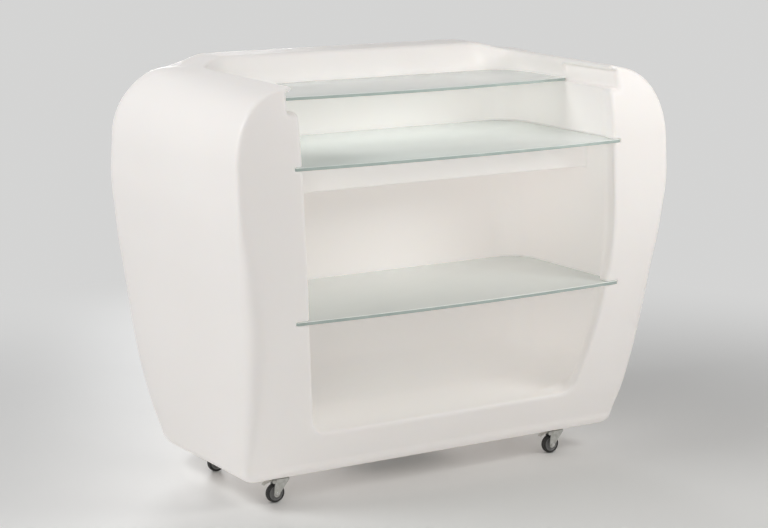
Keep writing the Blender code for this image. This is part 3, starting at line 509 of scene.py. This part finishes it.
def curveOf(levels, values):
    # Cubic Hermite through the values, each slope the harmonic mean of its neighbours
    levels, values = np.array(levels), np.array(values)
    gap = np.diff(levels)
    secant = np.diff(values) / gap
    a, b = secant[:-1], secant[1:]
    total = np.where(a + b == 0, 1.0, a + b)
    slope = np.concatenate([[secant[0]], np.where(a * b > 0, 2 * a * b / total, 0.0), [secant[-1]]])

    def read(z):
        z = np.clip(z, levels[0], levels[-1])
        i = np.clip(np.searchsorted(levels, z, side="right") - 1, 0, len(gap) - 1)
        h = gap[i]
        t = (z - levels[i]) / h
        return ((1 + 2 * t) * (1 - t) ** 2 * values[i] + t * (1 - t) ** 2 * h * slope[i]
                + t * t * (3 - 2 * t) * values[i + 1] + t * t * (t - 1) * h * slope[i + 1])
    return read


halfCurve, frontCurve, backCurve, cornerCurve = [
    curveOf(bodySettings["levels"], bodySettings[name]) for name in ("half", "front", "back", "corner")]
bayBackCurve = curveOf(baySettings["levels"], baySettings["back"])
legCurve = curveOf(bodySettings["levels"], baySettings["leg"])


def ease(t):
    t = np.clip(t, 0.0, 1.0)
    return t * t * (3 - 2 * t)


def bothOf(a, b, radius):
    # Inside both shapes, with their shared edge rounded to the radius
    beyond = np.hypot(np.maximum(a + radius, 0.0), np.maximum(b + radius, 0.0))
    return np.minimum(np.maximum(a, b), -radius) + beyond


def eitherOf(a, b, radius):
    # Inside either shape, with their shared corner filled to the radius
    return -bothOf(-a, -b, radius)


def riseShare(z):
    s = bodySettings
    return np.clip((z - s["shoulderHeight"]) / (s["crestHeight"] - s["shoulderHeight"]), 0.0, 1.0)


def heelShare(z):
    s = bodySettings
    t = np.clip((s["heelHeight"] - z) / (s["heelHeight"] - s["baseHeight"]), 0.0, 1.0)
    return np.sqrt(1 - t * t)


def levelled(x, y, z):
    # Height with the top edge's climb to the customer side and its fall to the service side taken out
    s = bodySettings
    along = np.abs(x)
    far = ease((y - s["riseStart"]) / (s["riseEnd"] - s["riseStart"]))
    raised = far * ease((s["riseHalf"] - along) / s["riseBlend"])
    swell = far * s["endSwell"] * ease((along - s["dipHalf"]) / s["dipBlend"])
    fall = s["crestFall"] * np.clip(1 - y / s["fallEnd"], 0.0, 1.0)
    fall = fall * (1 - s["ridgeShare"] * ease((s["ridgeHalf"] - along) / s["ridgeBlend"])) * (1 - raised)
    level = z
    for _ in range(3):
        share = riseShare(level)
        level = z - s["rimRise"] * (raised + swell) * share ** 2 + fall * share ** 4
    return level


def byHeight(z, low, middle, high):
    # The heel's value below it, the crown's above the shoulder, and the curve's between
    s = bodySettings
    return np.where(z < s["heelHeight"], low, np.where(z > s["shoulderHeight"], high, middle))


def bodyHalf(z):
    s = bodySettings
    low = s["baseHalf"] + (s["half"][0] - s["baseHalf"]) * heelShare(z)
    crown = s["crestHalf"] + (s["half"][-1] - s["crestHalf"]) * np.sqrt(1 - riseShare(z) ** 2)
    return byHeight(z, low, halfCurve(z), crown)


def quarterEdge(z, size):
    # How far a wall draws in over its top edge, a quarter circle of the size
    t = np.clip((z - bodySettings["crestHeight"]) / size + 1.0, 0.0, 1.0)
    return size * (1 - np.sqrt(1 - t * t))


def bodyFront(z):
    s = bodySettings
    low = s["baseFront"] + (s["front"][0] - s["baseFront"]) * heelShare(z)
    lean = s["crestLean"] * riseShare(z) ** s["leanPower"]
    crown = s["front"][-1] + lean + quarterEdge(z, s["frontCrestEdge"])
    return byHeight(z, low, frontCurve(z), crown)


def bodyBack(z):
    s = bodySettings
    low = s["baseBack"] + (s["back"][0] - s["baseBack"]) * heelShare(z)
    lean = (s["rimBack"] - s["back"][-1]) * riseShare(z) ** s["backPower"]
    crown = s["back"][-1] + lean - quarterEdge(z, s["backCrestEdge"])
    return byHeight(z, low, backCurve(z), crown)


def outerField(x, y, level):
    # Rounded rectangle in plan at each level, less than 0 inside
    s = bodySettings
    front, back, half = bodyFront(level), bodyBack(level), bodyHalf(level)
    middle, deep = (front + back) / 2, (back - front) / 2
    radius = np.where(y < middle, cornerCurve(level), s["backCorner"])
    plan = bothOf(np.abs(x) - half, np.abs(y - middle) - deep, radius)
    return np.maximum(np.maximum(plan, level - s["crestHeight"]), s["baseHeight"] - level)


def bayField(x, y, z, level, ledge):
    # Open bay: a lip along the legs, wider walls behind it, round back corners and a filleted floor
    s = baySettings
    crest = ease((z - s["crestFrom"]) / (s["crestTo"] - s["crestFrom"]))
    lip = bodyHalf(np.minimum(level, bodySettings["shoulderHeight"])) - legCurve(level)
    lip = lip + (s["crestHalf"] - lip) * crest
    wide = ease((z - s["wideFrom"]) / s["wideBlend"])
    half = s["half"] - ledge + (s["grooveHalf"] - s["half"]) * wide
    half = half + (s["crestHalf"] - s["grooveHalf"]) * crest
    t = (y - bodyFront(level) - s["lipDepth"]) / s["lipBlend"]
    share = ease(t)
    inside = np.clip(t, 0.0, 1.0)
    slope = (half - lip) * 6 * inside * (1 - inside) / s["lipBlend"]
    side = (np.abs(x) - lip - (half - lip) * share) / np.sqrt(1 + slope * slope)
    plan = bothOf(side, y - bayBackCurve(level) + ledge, s["corner"])
    radius = s["floorCorner"] + (s["floorFillet"] - s["floorCorner"]) * share
    return bothOf(plan, s["floorHeight"] - z, radius)


def grooveField(x, y, z, shelf):
    s = shelfSettings
    gap = s["clearance"]
    tall = (s["thickness"] + s["headroom"]) / 2
    plan = bothOf(np.abs(x) - shelf["half"] - gap, y - shelf["back"] - gap, s["backCorner"] + gap)
    if shelf is s["top"]:
        plan = np.maximum(plan, shelf["front"] - shelf["bow"] - gap - y)
    return np.maximum(plan, np.abs(z - shelf["height"] - tall) - tall)


def pocketField(x, y, z):
    p = pocketSettings
    middle = shelfSettings["top"]["height"] + p["height"] / 2
    plan = bothOf(np.abs(x) - p["half"], y - p["length"], p["corner"])
    return bothOf(plan, np.abs(z - middle) - p["height"] / 2, p["corner"])


def lampBayField(x, y, z):
    h = lampBaySettings
    plan = bothOf(np.abs(x) - h["length"] / 2, np.abs(y - h["y"]) - h["width"] / 2, h["corner"])
    return bothOf(plan, z - bodySettings["baseHeight"] - h["depth"], h["corner"])


def shellField(x, y, z):
    # The outer form less the bay with its ledges and deck, the grooves, the pockets and the lamp's hollow
    level = levelled(x, y, z)
    b, p = baySettings, pocketSettings
    aboveLow = np.maximum(bayField(x, y, z, level, 0.0), shelfSettings["low"]["height"] - z)
    bay = eitherOf(bayField(x, y, z, level, b["ledge"]), aboveLow, b["ledgeEdge"])
    deckMiddle = shelfSettings["middle"]["height"] - b["deckThickness"] / 2
    deck = bothOf(b["deckSetback"] - y, np.abs(z - deckMiddle) - b["deckThickness"] / 2, b["deckEdge"])
    bay = bothOf(bay, -deck, b["deckFillet"])
    edge = b["lipEdge"] + (b["rimEdge"] - b["lipEdge"]) * ease((z - b["rimFrom"]) / b["rimBlend"])
    shell = bothOf(outerField(x, y, level), -bay, edge)
    for name in shelfNames:
        shell = bothOf(shell, -grooveField(x, y, z, shelfSettings[name]), shelfSettings["grooveEdge"])
    soft = 1 - ease((y - p["mouthFrom"]) / p["mouthReach"])
    shell = bothOf(shell, -pocketField(x, y, z), p["edge"] + (p["mouthEdge"] - p["edge"]) * soft)
    return np.maximum(shell, -lampBayField(x, y, z))


def gradedLines(stops):
    # Grid lines from (start, step) pairs, the last pair only ending the run
    runs = []
    for (low, step), (high, _) in zip(stops, stops[1:]):
        count = max(1, int(round((high - low) / step)))
        runs.append(np.linspace(low, high, count, endpoint=False))
    return np.concatenate(runs + [[stops[-1][0]]])


# The grid is fine where edges are tight; the shifts keep its planes off the body's flat faces
gridSettings = {
    "x": ((0.0, 0.024), (0.385, 0.008), (0.418, 0.0046), (0.5, 0.0033), (0.527, 0.0105), (0.6, 0.0062),
          (0.655, 0.0062)),
    "y": ((-0.02, 0.004), (0.128, 0.005), (0.146, 0.0095), (0.246, 0.0038), (0.262, 0.0115),
          (0.4, 0.0095), (0.545, 0.0044), (0.573, 0.01), (0.655, 0.0066), (0.69, 0.011),
          (0.822, 0.011)),
    "z": ((0.0665, 0.0046), (0.104, 0.0125), (0.18, 0.006), (0.204, 0.011), (0.3, 0.0165),
          (0.488, 0.0024), (0.512, 0.0165), (0.785, 0.0039), (0.806, 0.0095), (0.866, 0.0024),
          (0.892, 0.01), (1.008, 0.0026), (1.032, 0.0055), (1.054, 0.0036), (1.108, 0.0036)),
    "shift": (1.3e-4, 1.1e-4, 1.7e-4),
}
# Newton steps on to the surface: shares of a cell that a point may move at once and stray past its cell
netSettings = {"passes": 5, "probe": 2e-4, "leastSlope": 0.05, "stride": 0.6, "stray": 0.35}


def cellPoints(values, lines):
    # A first point in each cell that the surface crosses: the mean of the crossings on the cell's edges
    inside = values < 0
    nx, ny, nz = [len(line) - 1 for line in lines]
    eight = list(np.ndindex(2, 2, 2))
    cells = sum(inside[i:nx + i, j:ny + j, k:nz + k].astype(np.int8) for i, j, k in eight)
    busy = np.argwhere((cells > 0) & (cells < 8))
    number = np.full(cells.shape, -1, dtype=np.int64)
    number[tuple(busy.T)] = np.arange(len(busy))
    corners = {corner: values[tuple((busy + corner).T)] for corner in eight}
    total, found = np.zeros((len(busy), 3)), np.zeros(len(busy))
    for axis in range(3):
        for first in [c for c in corners if c[axis] == 0]:
            second = tuple(1 if n == axis else c for n, c in enumerate(first))
            a, b = corners[first], corners[second]
            crossed = (a < 0) != (b < 0)
            place = np.tile(np.array(first, dtype=float), (len(busy), 1))
            place[:, axis] = np.where(crossed, a / np.where(crossed, a - b, 1.0), 0.0)
            total += place * crossed[:, None]
            found += crossed
    low = np.stack([line[busy[:, n]] for n, line in enumerate(lines)], axis=1)
    size = np.stack([np.diff(line)[busy[:, n]] for n, line in enumerate(lines)], axis=1)
    return low + total / found[:, None] * size, low, size, number


def netQuads(inside, number):
    # One quad about each grid edge that the surface crosses, facing out
    quads = []
    for axis in range(3):
        a = np.take(inside, range(inside.shape[axis] - 1), axis=axis)
        b = np.take(inside, range(1, inside.shape[axis]), axis=axis)
        at = np.argwhere(a != b)
        others = [n for n in range(3) if n != axis]
        at = at[(at[:, others[0]] > 0) & (at[:, others[1]] > 0)]
        near = np.eye(3, dtype=int)
        u, v = near[(axis + 1) % 3], near[(axis + 2) % 3]
        ring = [number[tuple((at - du * u - dv * v).T)] for du, dv in ((1, 1), (0, 1), (0, 0), (1, 0))]
        quad = np.stack(ring, axis=1)
        outward = a[tuple(at.T)]
        quads.append(np.where(outward[:, None], quad, quad[:, ::-1]))
    return np.concatenate(quads)


def netSurface(field, lines):
    # Zero surface of the field on a graded grid, each cell's point drawn on to it along the gradient
    s = netSettings
    xs, ys, zs = lines
    values = np.stack([field(x, ys[:, None], zs[None, :]) for x in xs])
    points, low, size, number = cellPoints(values, lines)
    probe, stride, stray = s["probe"], s["stride"], s["stray"]
    for _ in range(s["passes"]):
        here = field(*points.T)
        slope = np.stack([(field(*(points + step).T) - field(*(points - step).T)) / (2 * probe)
                          for step in probe * np.eye(3)], axis=1)
        move = -here[:, None] * slope / np.maximum((slope ** 2).sum(axis=1), s["leastSlope"])[:, None]
        moved = points + np.clip(move, -stride * size, stride * size)
        points = np.clip(moved, low - stray * size, low + (1 + stray) * size)
    return points, netQuads(values < 0, number)


def makeBody():
    xs, ys, zs = [gradedLines(gridSettings[axis]) for axis in "xyz"]
    xs = np.concatenate([-xs[:0:-1], xs])
    lines = [line + shift for line, shift in zip((xs, ys, zs), gridSettings["shift"])]
    points, quads = netSurface(shellField, lines)
    points[:, 1] += depthShift
    print("body:", [len(line) for line in lines], len(quads) * 2, "triangles")
    meshObject("moulded_body", points, quads.tolist(), mouldedWhite, "counter", ("body_shell",),
               tidy=False)


makeBody()


# Glass shelves: bowed front edge, round corners, ground rims

def shelfOutline(shelf):
    # Anticlockwise: front bow, right front corner, right side, back corners, left side
    s = shelfSettings
    half, radius, big = shelf["half"], shelf["corner"], s["backCorner"]
    x = np.linspace(-(half - radius), half - radius, s["bowPoints"])
    bow = np.stack([x, shelf["front"] - shelf["bow"] * (1 - (x / half) ** 2)], axis=1)
    end = bow[-1, 1]
    turn = np.linspace(0.0, pi / 2, s["frontPoints"])[1:]
    wide = np.linspace(0.0, pi / 2, s["backPoints"])
    rightFront = np.stack([half - radius + radius * np.sin(turn), end + radius * (1 - np.cos(turn))], axis=1)
    sideY = np.linspace(end + radius, shelf["back"] - big, s["sidePoints"] + 2)[1:-1]
    rightSide = np.stack([np.full(s["sidePoints"], half), sideY], axis=1)
    rightBack = np.stack([half - big + big * np.cos(wide), shelf["back"] - big + big * np.sin(wide)], axis=1)
    right = np.concatenate([rightFront, rightSide, rightBack])
    left = right[::-1] * np.array([-1.0, 1.0])
    return np.concatenate([bow, right, left[:-1]])


def makeShelves():
    # The outline carried up over rounded rims, then in over a ground bevel to the flat face
    s = shelfSettings
    for name in shelfNames:
        low = s[name]["height"] + s["lift"]
        high = low + s["thickness"]
        inset, height = rimRings(low, high - s["bevelDrop"], s["edge"])
        inset, height = np.append(inset, s["bevel"]), np.append(height, high)
        outline = shelfOutline(s[name])
        points, faces = ringStack(outline, inset, height)
        points = points + np.array((0.0, depthShift, 0.0))
        looks = np.ones(len(faces), dtype=np.int32)    # 0 the faces, 1 the rims, 2 the bevel with its painted highlight
        looks[(len(height) - 2) * len(outline):(len(height) - 1) * len(outline)] = 2
        looks[-2:] = 0
        glass = lowGlassPaintedShade if name == "low" else frostedGlass
        pane = meshObject("satin_shelf_" + name, points, faces, glass, "shelf_" + name,
                          ("glass_shelf_" + name,), tidy=False)
        pane.data.materials.append(glassEdge)
        pane.data.materials.append(bevelPaintedHighlight)
        pane.data.polygons.foreach_set("material_index", looks)
    print("shelves made")


makeShelves()


# Castors: place of each swivel pin and whether it has a brake; the wheel trails towards -X

castorSettings = {
    "places": {"front_left": (-0.431, 0.186, True), "front_right": (0.431, 0.186, True),
               "back_left": (-0.431, 0.51, False), "back_right": (0.431, 0.51, False)},
    "plate": (0.056, 0.05, 0.005), "plateLow": 0.0722, "plateHigh": 0.0747, "plateEdge": 0.0006,
    "screwInset": 0.009, "screwRadius": 0.004, "screwRise": 0.0024,
    "raceTop": 0.0719, "raceLow": 0.0644, "raceRadius": 0.017, "raceEdge": 0.0007,
    "forkTop": 0.0641, "forkThickness": 0.002, "forkHalf": 0.012, "forkFront": 0.0135, "forkBack": -0.0238,
    "footRadius": 0.009, "trail": 0.022, "bend": 0.003, "flareFrom": 0.028, "flareDrop": 0.0044,
    "flareHalf": 0.00849, "sheetEdge": 0.0004,
    "wheelRadius": 0.025, "wheelHalf": 0.009, "tyre": 0.006, "tyreCrown": 0.0034, "hubRadius": 0.007,
    "hubBore": 0.0032, "hubGap": 0.0002, "hubProud": 0.0008,
    "boltRadius": 0.003, "boltTip": 0.0026, "headRadius": 0.0055, "nutRadius": 0.0056, "headRise": 0.0034,
    "boltEdge": 0.0006, "boltGap": 0.0002,
    "pinLow": 0.0583, "pinRadius": 0.0039, "pinHeadRadius": 0.0065, "pinHead": 0.0035,
    "pedalX": -0.031, "pedalZ": 0.0566, "pedalWidth": 0.016, "pedalReach": 0.026, "pedalThickness": 0.0018,
    "pedalBend": 0.003, "pedalDrop": 0.0012, "rodRadius": 0.002, "rodHalf": 0.0132,
    "ear": (0.0105, 0.009, 0.0042), "earHalf": 0.001, "earShift": 0.001, "earEdge": 0.0003,
}
screwSettings = {"rings": 15, "steps": 48, "arm": 0.16, "armBlend": 0.1, "armEnd": 0.62, "crossDepth": 0.55}


def screwHead(radius, rise):
    # Pan head facing -Z: a dome on a polar grid, with a cross pressed into it
    s = screwSettings
    rings, steps = s["rings"], s["steps"]
    ring = np.linspace(0.0, 1.0, rings)
    angle = np.linspace(0.0, 2 * pi, steps, endpoint=False)
    r, a = np.meshgrid(ring, angle, indexing="ij")
    x, y = radius * r * np.cos(a), radius * r * np.sin(a)
    arm = s["arm"] * radius
    across = (arm - np.minimum(np.abs(x), np.abs(y))) / (s["armBlend"] * radius) + 0.5
    cross = ease(across) * ease((s["armEnd"] - r) / s["armBlend"])
    dome = rise * np.sqrt(np.clip(1 - (r * 0.92) ** 2.6, 0.0, 1.0))
    points = gridPoints(x, y, s["crossDepth"] * rise * cross - dome)
    skirt = points[-steps:].copy()
    skirt[:, 2] = 0.0
    faces = gridFaces(rings + 1, steps, wrapColumns=True)
    faces.append([rings * steps + i for i in range(steps)])
    return np.concatenate([points, skirt]), faces


def castorPlate(s):
    length, width, corner = s["plate"]
    parts = [plateSolid(roundedBox(length, width, corner), s["plateLow"], s["plateHigh"], s["plateEdge"])]
    head = screwHead(s["screwRadius"], s["screwRise"])
    for sx in (-1, 1):
        for sy in (-1, 1):
            place = (sx * (length / 2 - s["screwInset"]), sy * (width / 2 - s["screwInset"]), s["plateLow"])
            parts.append((placed(head[0], place), head[1]))
    return joined(parts)


def castorRace(s):
    # Two pressed cups: shares of the radius and of the height, from the top down
    top, low, radius = s["raceTop"], s["raceLow"], s["raceRadius"]
    tall = top - low
    upper = [(0.0, top), (radius * 0.96, top), (radius, top - tall * 0.1), (radius, top - tall * 0.42),
             (radius * 0.93, top - tall * 0.5), (radius * 0.93, top - tall * 0.56)]
    lower = [(radius * 0.97, top - tall * 0.62), (radius * 0.9, low + tall * 0.1), (radius * 0.84, low),
             (0.0, low)]
    return turned(rounded(upper + lower, s["raceEdge"]), 56)


def castorFork(s):
    # One pressed sheet: its middle line, up a cheek, over the bridge and down the other cheek, by its width
    # along X, which follows the cheek's outline
    half, bend, top = s["forkHalf"], s["bend"], s["forkTop"] - s["forkThickness"] / 2
    trail, flare, foot = s["trail"], s["flareHalf"], s["footRadius"]
    turn = np.linspace(0.0, pi / 2, 7)[1:]
    drop = 0.5 - 0.5 * np.cos(np.linspace(0.0, pi / 2, 12))
    aroundFoot = s["wheelRadius"] - foot + foot * drop * 2.0
    upZ = np.concatenate([aroundFoot, np.linspace(s["wheelRadius"] + foot, top - bend, 9)[1:]])
    flatY = np.linspace(-half + bend, 0.0, 6)[1:]
    lineY = np.concatenate([np.full(len(upZ), -half), -half + bend * (1 - np.cos(turn)), flatY])
    lineZ = np.concatenate([upZ, top - bend + bend * np.sin(turn), np.full(len(flatY), top)])
    lineY = np.concatenate([lineY, -lineY[-2::-1]])
    lineZ = np.concatenate([lineZ, lineZ[-2::-1]])
    share = np.clip((lineZ - s["flareFrom"]) / (s["forkTop"] - s["flareDrop"] - s["flareFrom"]), 0.0, 1.0)
    circle = np.sqrt(np.maximum(foot ** 2 - (lineZ - s["wheelRadius"]) ** 2, 0.0))
    low = lineZ < s["flareFrom"]
    front = np.where(low, -trail + circle, -trail + flare + (s["forkFront"] + trail - flare) * share ** 0.9)
    back = np.where(low, -trail - circle, -trail - flare + (s["forkBack"] + trail + flare) * share ** 2.2)
    across = np.linspace(0.0, 1.0, 11)
    x = back[:, None] + (front - back)[:, None] * across
    return gridPoints(x, lineY[:, None], lineZ[:, None]), gridFaces(len(lineY), len(across))


def castorTyre(s):
    r, w, t = s["wheelRadius"], s["wheelHalf"], s["tyre"]
    turn = np.linspace(-1.0, 1.0, 25)
    crown = np.stack([r - s["tyreCrown"] * np.abs(turn) ** 3.2, w * turn * (1 - 0.02 * turn ** 2)], axis=1)
    bead = [(r - t * 0.62, w), (r - t * 0.98, w * 0.86), (r - t * 0.98, -w * 0.86), (r - t * 0.62, -w)]
    return turnedClosed(np.concatenate([crown, rounded(bead, 0.0006, 3)]), 96)


def castorHub(s):
    # Half profile out from the bore: boss, dished web and rim; the other half mirrors it
    core, w, hub = s["wheelRadius"] - s["tyre"] - s["hubGap"], s["wheelHalf"], s["hubRadius"]
    proud = w + s["hubProud"]
    face = [(s["hubBore"], proud), (hub, proud), (hub * 1.08, w * 0.42), (core * 0.78, w * 0.34),
            (core * 0.86, w * 0.8), (core, w * 0.84)]
    return turnedClosed(rounded(face + [(r, -h) for r, h in face[::-1]], 0.0008, 4), 72)


def castorAxle(s):
    # Domed head at one end, hexagon nut at the other, both along Y
    out = s["forkHalf"] + s["forkThickness"] / 2 + s["boltGap"]
    head, bolt, tip, rise = s["headRadius"], s["boltRadius"], s["boltTip"], s["headRise"]
    dome = [(0.0, out + rise), (0.004, out + 0.0032), (head, out + 0.0018), (head, out), (0.0, out)]
    end = -out - rise
    nut = plateSolid(hexagon(s["nutRadius"], s["boltEdge"]), end, -out, 0.0005)
    shaft = [(0.0, out), (bolt, out), (bolt, end - 0.001), (tip, end - 0.0014), (0.0, end - 0.0014)]
    return joined([turned(rounded(dome, s["boltEdge"]), 40), nut, turned(shaft, 32)])


def castorPin(s):
    low, top, pin, head = s["pinLow"], s["raceLow"] - 0.0004, s["pinRadius"], s["pinHeadRadius"]
    profile = [(0.0, top), (pin, top), (pin, low + s["pinHead"]), (head, low + s["pinHead"]),
               (head, low + 0.0014), (0.0052, low), (0.0, low)]
    return turned(rounded(profile, 0.0006), 40)


def brakePedal(s):
    # Bent sheet: side line in X and Z (first parameter) by width along Y (second parameter)
    reach, half = s["pedalReach"], s["pedalWidth"] / 2
    line = [(0.0033, -0.0022), (0.0029, 0.003), (-0.0052, 0.003), (-0.72 * reach, 0.0005),
            (-reach + 0.001, -0.003), (-reach + 0.0004, -0.005)]
    line = rounded(line, s["pedalBend"], 6)
    across = np.linspace(-1.0, 1.0, 13)
    narrow = 1 - 0.16 * ease((-line[:, 0] - 0.8 * reach) / (0.2 * reach))
    points = gridPoints(line[:, :1], half * narrow[:, None] * across, line[:, 1:] - s["pedalDrop"])
    return points, gridFaces(len(line), len(across))


def thicken(piece, thickness, bevel):
    solid = piece.modifiers.new("sheet", "SOLIDIFY")
    solid.thickness = thickness
    solid.offset = 0.0
    edge = piece.modifiers.new("edge", "BEVEL")
    edge.width = bevel
    edge.segments = 2
    edge.limit_method = "ANGLE"
    edge.angle_limit = radians(50)


def addPiece(name, shape, place, look, body, nodes, axis="Z"):
    points, faces = shape
    return meshObject(name, placed(points, place, axis), faces, look, body, nodes)


def makeBrake(name, x, y):
    s = castorSettings
    pivot = (x + s["pedalX"], y, s["pedalZ"])
    body = "brake_" + name
    pedal = addPiece("foot_brake_" + name, brakePedal(s), pivot, zincPlate, body, ("brake_pedal_" + name,))
    thicken(pedal, s["pedalThickness"], s["sheetEdge"])
    out, radius = s["rodHalf"], s["rodRadius"]
    rod = turned(rounded([(0.0, out), (radius, out), (radius, -out), (0.0, -out)], 0.0004), 24)
    addPiece("brake_rod_" + name, rod, pivot, brightPin, body, (), "Y")
    for side, word in ((-1, "near"), (1, "far")):
        low, high = side * s["forkHalf"] - s["earHalf"], side * s["forkHalf"] + s["earHalf"]
        ear, faces = plateSolid(roundedBox(*s["ear"]), low, high, s["earEdge"])
        ear = ear[:, [0, 2, 1]] + np.array((x + s["pedalX"] + s["earShift"], y, s["pedalZ"]))
        meshObject("brake_ear_%s_%s" % (word, name), ear, faces, zincPlate, "swivel_" + name, ())


# What each castor has: name, maker, look, body, the node it replaces, slot and the axis it is made for
castorPieces = (
    ("zinc_plate_", castorPlate, zincPlate, "counter", "castor_plate_", "castor_zinc", "Z"),
    ("zinc_race_", castorRace, zincPlate, "counter", "castor_race_", "race_zinc", "Z"),
    ("zinc_fork_", castorFork, zincPlate, "swivel_", "castor_fork_", "fork_zinc", "Z"),
    ("rivet_", castorPin, brightPin, "swivel_", "king_pin_", "pin_steel", "Z"),
    ("axle_bolt_", castorAxle, brightPin, "swivel_", "castor_axle_", "axle_steel", "Y"),
    ("soft_tyre_", castorTyre, rubberBlack, "wheel_", "castor_tyre_", "tyre_rubber", "Y"),
    ("wheel_hub_", castorHub, hubGrey, "wheel_", "castor_wheel_", "wheel_nylon", "Y"),
)


def makeCastors():
    s = castorSettings
    for name, (x, depth, braked) in s["places"].items():
        y = depth + depthShift
        places = {"Z": (x, y, 0.0), "Y": (x - s["trail"], y, s["wheelRadius"])}
        for label, maker, look, body, node, slot, axis in castorPieces:
            if body != "counter":
                body += name
            piece = addPiece(label + name, maker(s), places[axis], look, body, (node + name,), axis)
            if maker is castorFork:
                thicken(piece, s["forkThickness"], s["sheetEdge"])
        if braked:
            makeBrake(name, x, y)
    print("castors made")


makeCastors()


# Underside: hatch with a pressed bead, its screws and the gland

hatchSettings = {
    "length": 0.284, "width": 0.154, "corner": 0.012, "low": 0.0699, "high": 0.0729, "y": 0.345,
    "screwX": 0.1354, "screwY": 0.0704, "screwRadius": 0.004, "screwRise": 0.0022,
    # Rings from the rim inwards over the under face: rounded rim, margin, a bead 1.1 mm deep, flat field
    "inset": (0.0, 0.0003, 0.001, 0.012, 0.014, 0.017, 0.02, 0.022, 0.045),
    "rise": (0.001, 0.0003, 0.0, 0.0, 0.0003, 0.0011, 0.0003, 0.0, 0.0),
}
glandSettings = {"x": 0.09, "gap": 0.0003, "hexRadius": 0.0122, "hexEdge": 0.0012, "hexHeight": 0.008,
                 "plateEdge": 0.0006, "bore": 0.0035, "tipBore": 0.0036, "capRadius": 0.0095,
                 "tipRadius": 0.007, "boreTop": 0.006, "capTop": 0.007, "capLow": 0.015, "tipLow": 0.0176,
                 "capEdge": 0.0009}


def makeHatchPlate(middle):
    s = hatchSettings
    outline = roundedBox(s["length"], s["width"], s["corner"])
    inset = np.array((0.0, *s["inset"]))
    height = np.array([s["high"]] + [s["low"] + rise for rise in s["rise"]])
    scaleX, scaleY = 1 - 2 * inset / s["length"], 1 - 2 * inset / s["width"]
    points = gridPoints(outline[:, 0] * scaleX[:, None], outline[:, 1] * scaleY[:, None], height[:, None])
    size = len(outline)
    faces = gridFaces(len(inset), size, wrapColumns=True)
    faces += [list(range(size)), list(range((len(inset) - 1) * size, len(inset) * size))]
    addPiece("pressed_hatch", (points, faces), middle, zincPlate, "counter", ("lamp_hatch",))


def makeGland(middle):
    g = glandSettings
    low = hatchSettings["low"] - g["gap"]
    collar = plateSolid(hexagon(g["hexRadius"], g["hexEdge"]), low - g["hexHeight"], low, g["plateEdge"])
    start = (g["bore"], low - g["boreTop"])
    cap = [start, (g["capRadius"], low - g["capTop"]), (g["capRadius"], low - g["capLow"]),
           (g["tipRadius"], low - g["tipLow"]), (g["tipBore"], low - g["tipLow"]), start]
    shape = joined([collar, turned(rounded(cap, g["capEdge"]), 48)])
    addPiece("gland_body", shape, (g["x"], middle[1], 0.0), glandBlack, "counter", ("cable_gland",))


def makeUnderside():
    s = hatchSettings
    middle = (0.0, s["y"] + depthShift, 0.0)
    makeHatchPlate(middle)
    head = screwHead(s["screwRadius"], s["screwRise"])
    places = [(sx * s["screwX"], sy * s["screwY"]) for sx in (-1, 1) for sy in (-1, 1)]
    for i, (x, y) in enumerate(places, 1):
        addPiece("hatch_pan_screw_%d" % i, head, (x, y + middle[1], s["low"]), brightPin, "counter",
                 ("hatch_screw_%d" % i,))
    makeGland(middle)
    print("underside made")


def dressKept():
    # The frame's own pieces that stay get the scene's materials
    looks = {"hatch_gasket": sealBlack, "lamp_holder": holderWhite, "led_bulb": opalWhite,
             "lamp_foot": zincPlate, "gland_nut": glandBlack}
    for node, look in looks.items():
        for socket in frame["nodes"][node].material_slots:
            socket.material = look


makeUnderside()
dressKept()


def makeFloor():
    reach = floorSettings["reach"]
    mesh = bpy.data.meshes.new("studio_floor")
    corners = [(-reach, -reach, 0.0), (reach, -reach, 0.0), (reach, reach, 0.0), (-reach, reach, 0.0)]
    mesh.from_pydata(corners, [], [(0, 1, 2, 3)])
    mesh.materials.append(floorPale)
    floor = bpy.data.objects.new("studio_floor", mesh)
    scene.collection.objects.link(floor)


makeFloor()
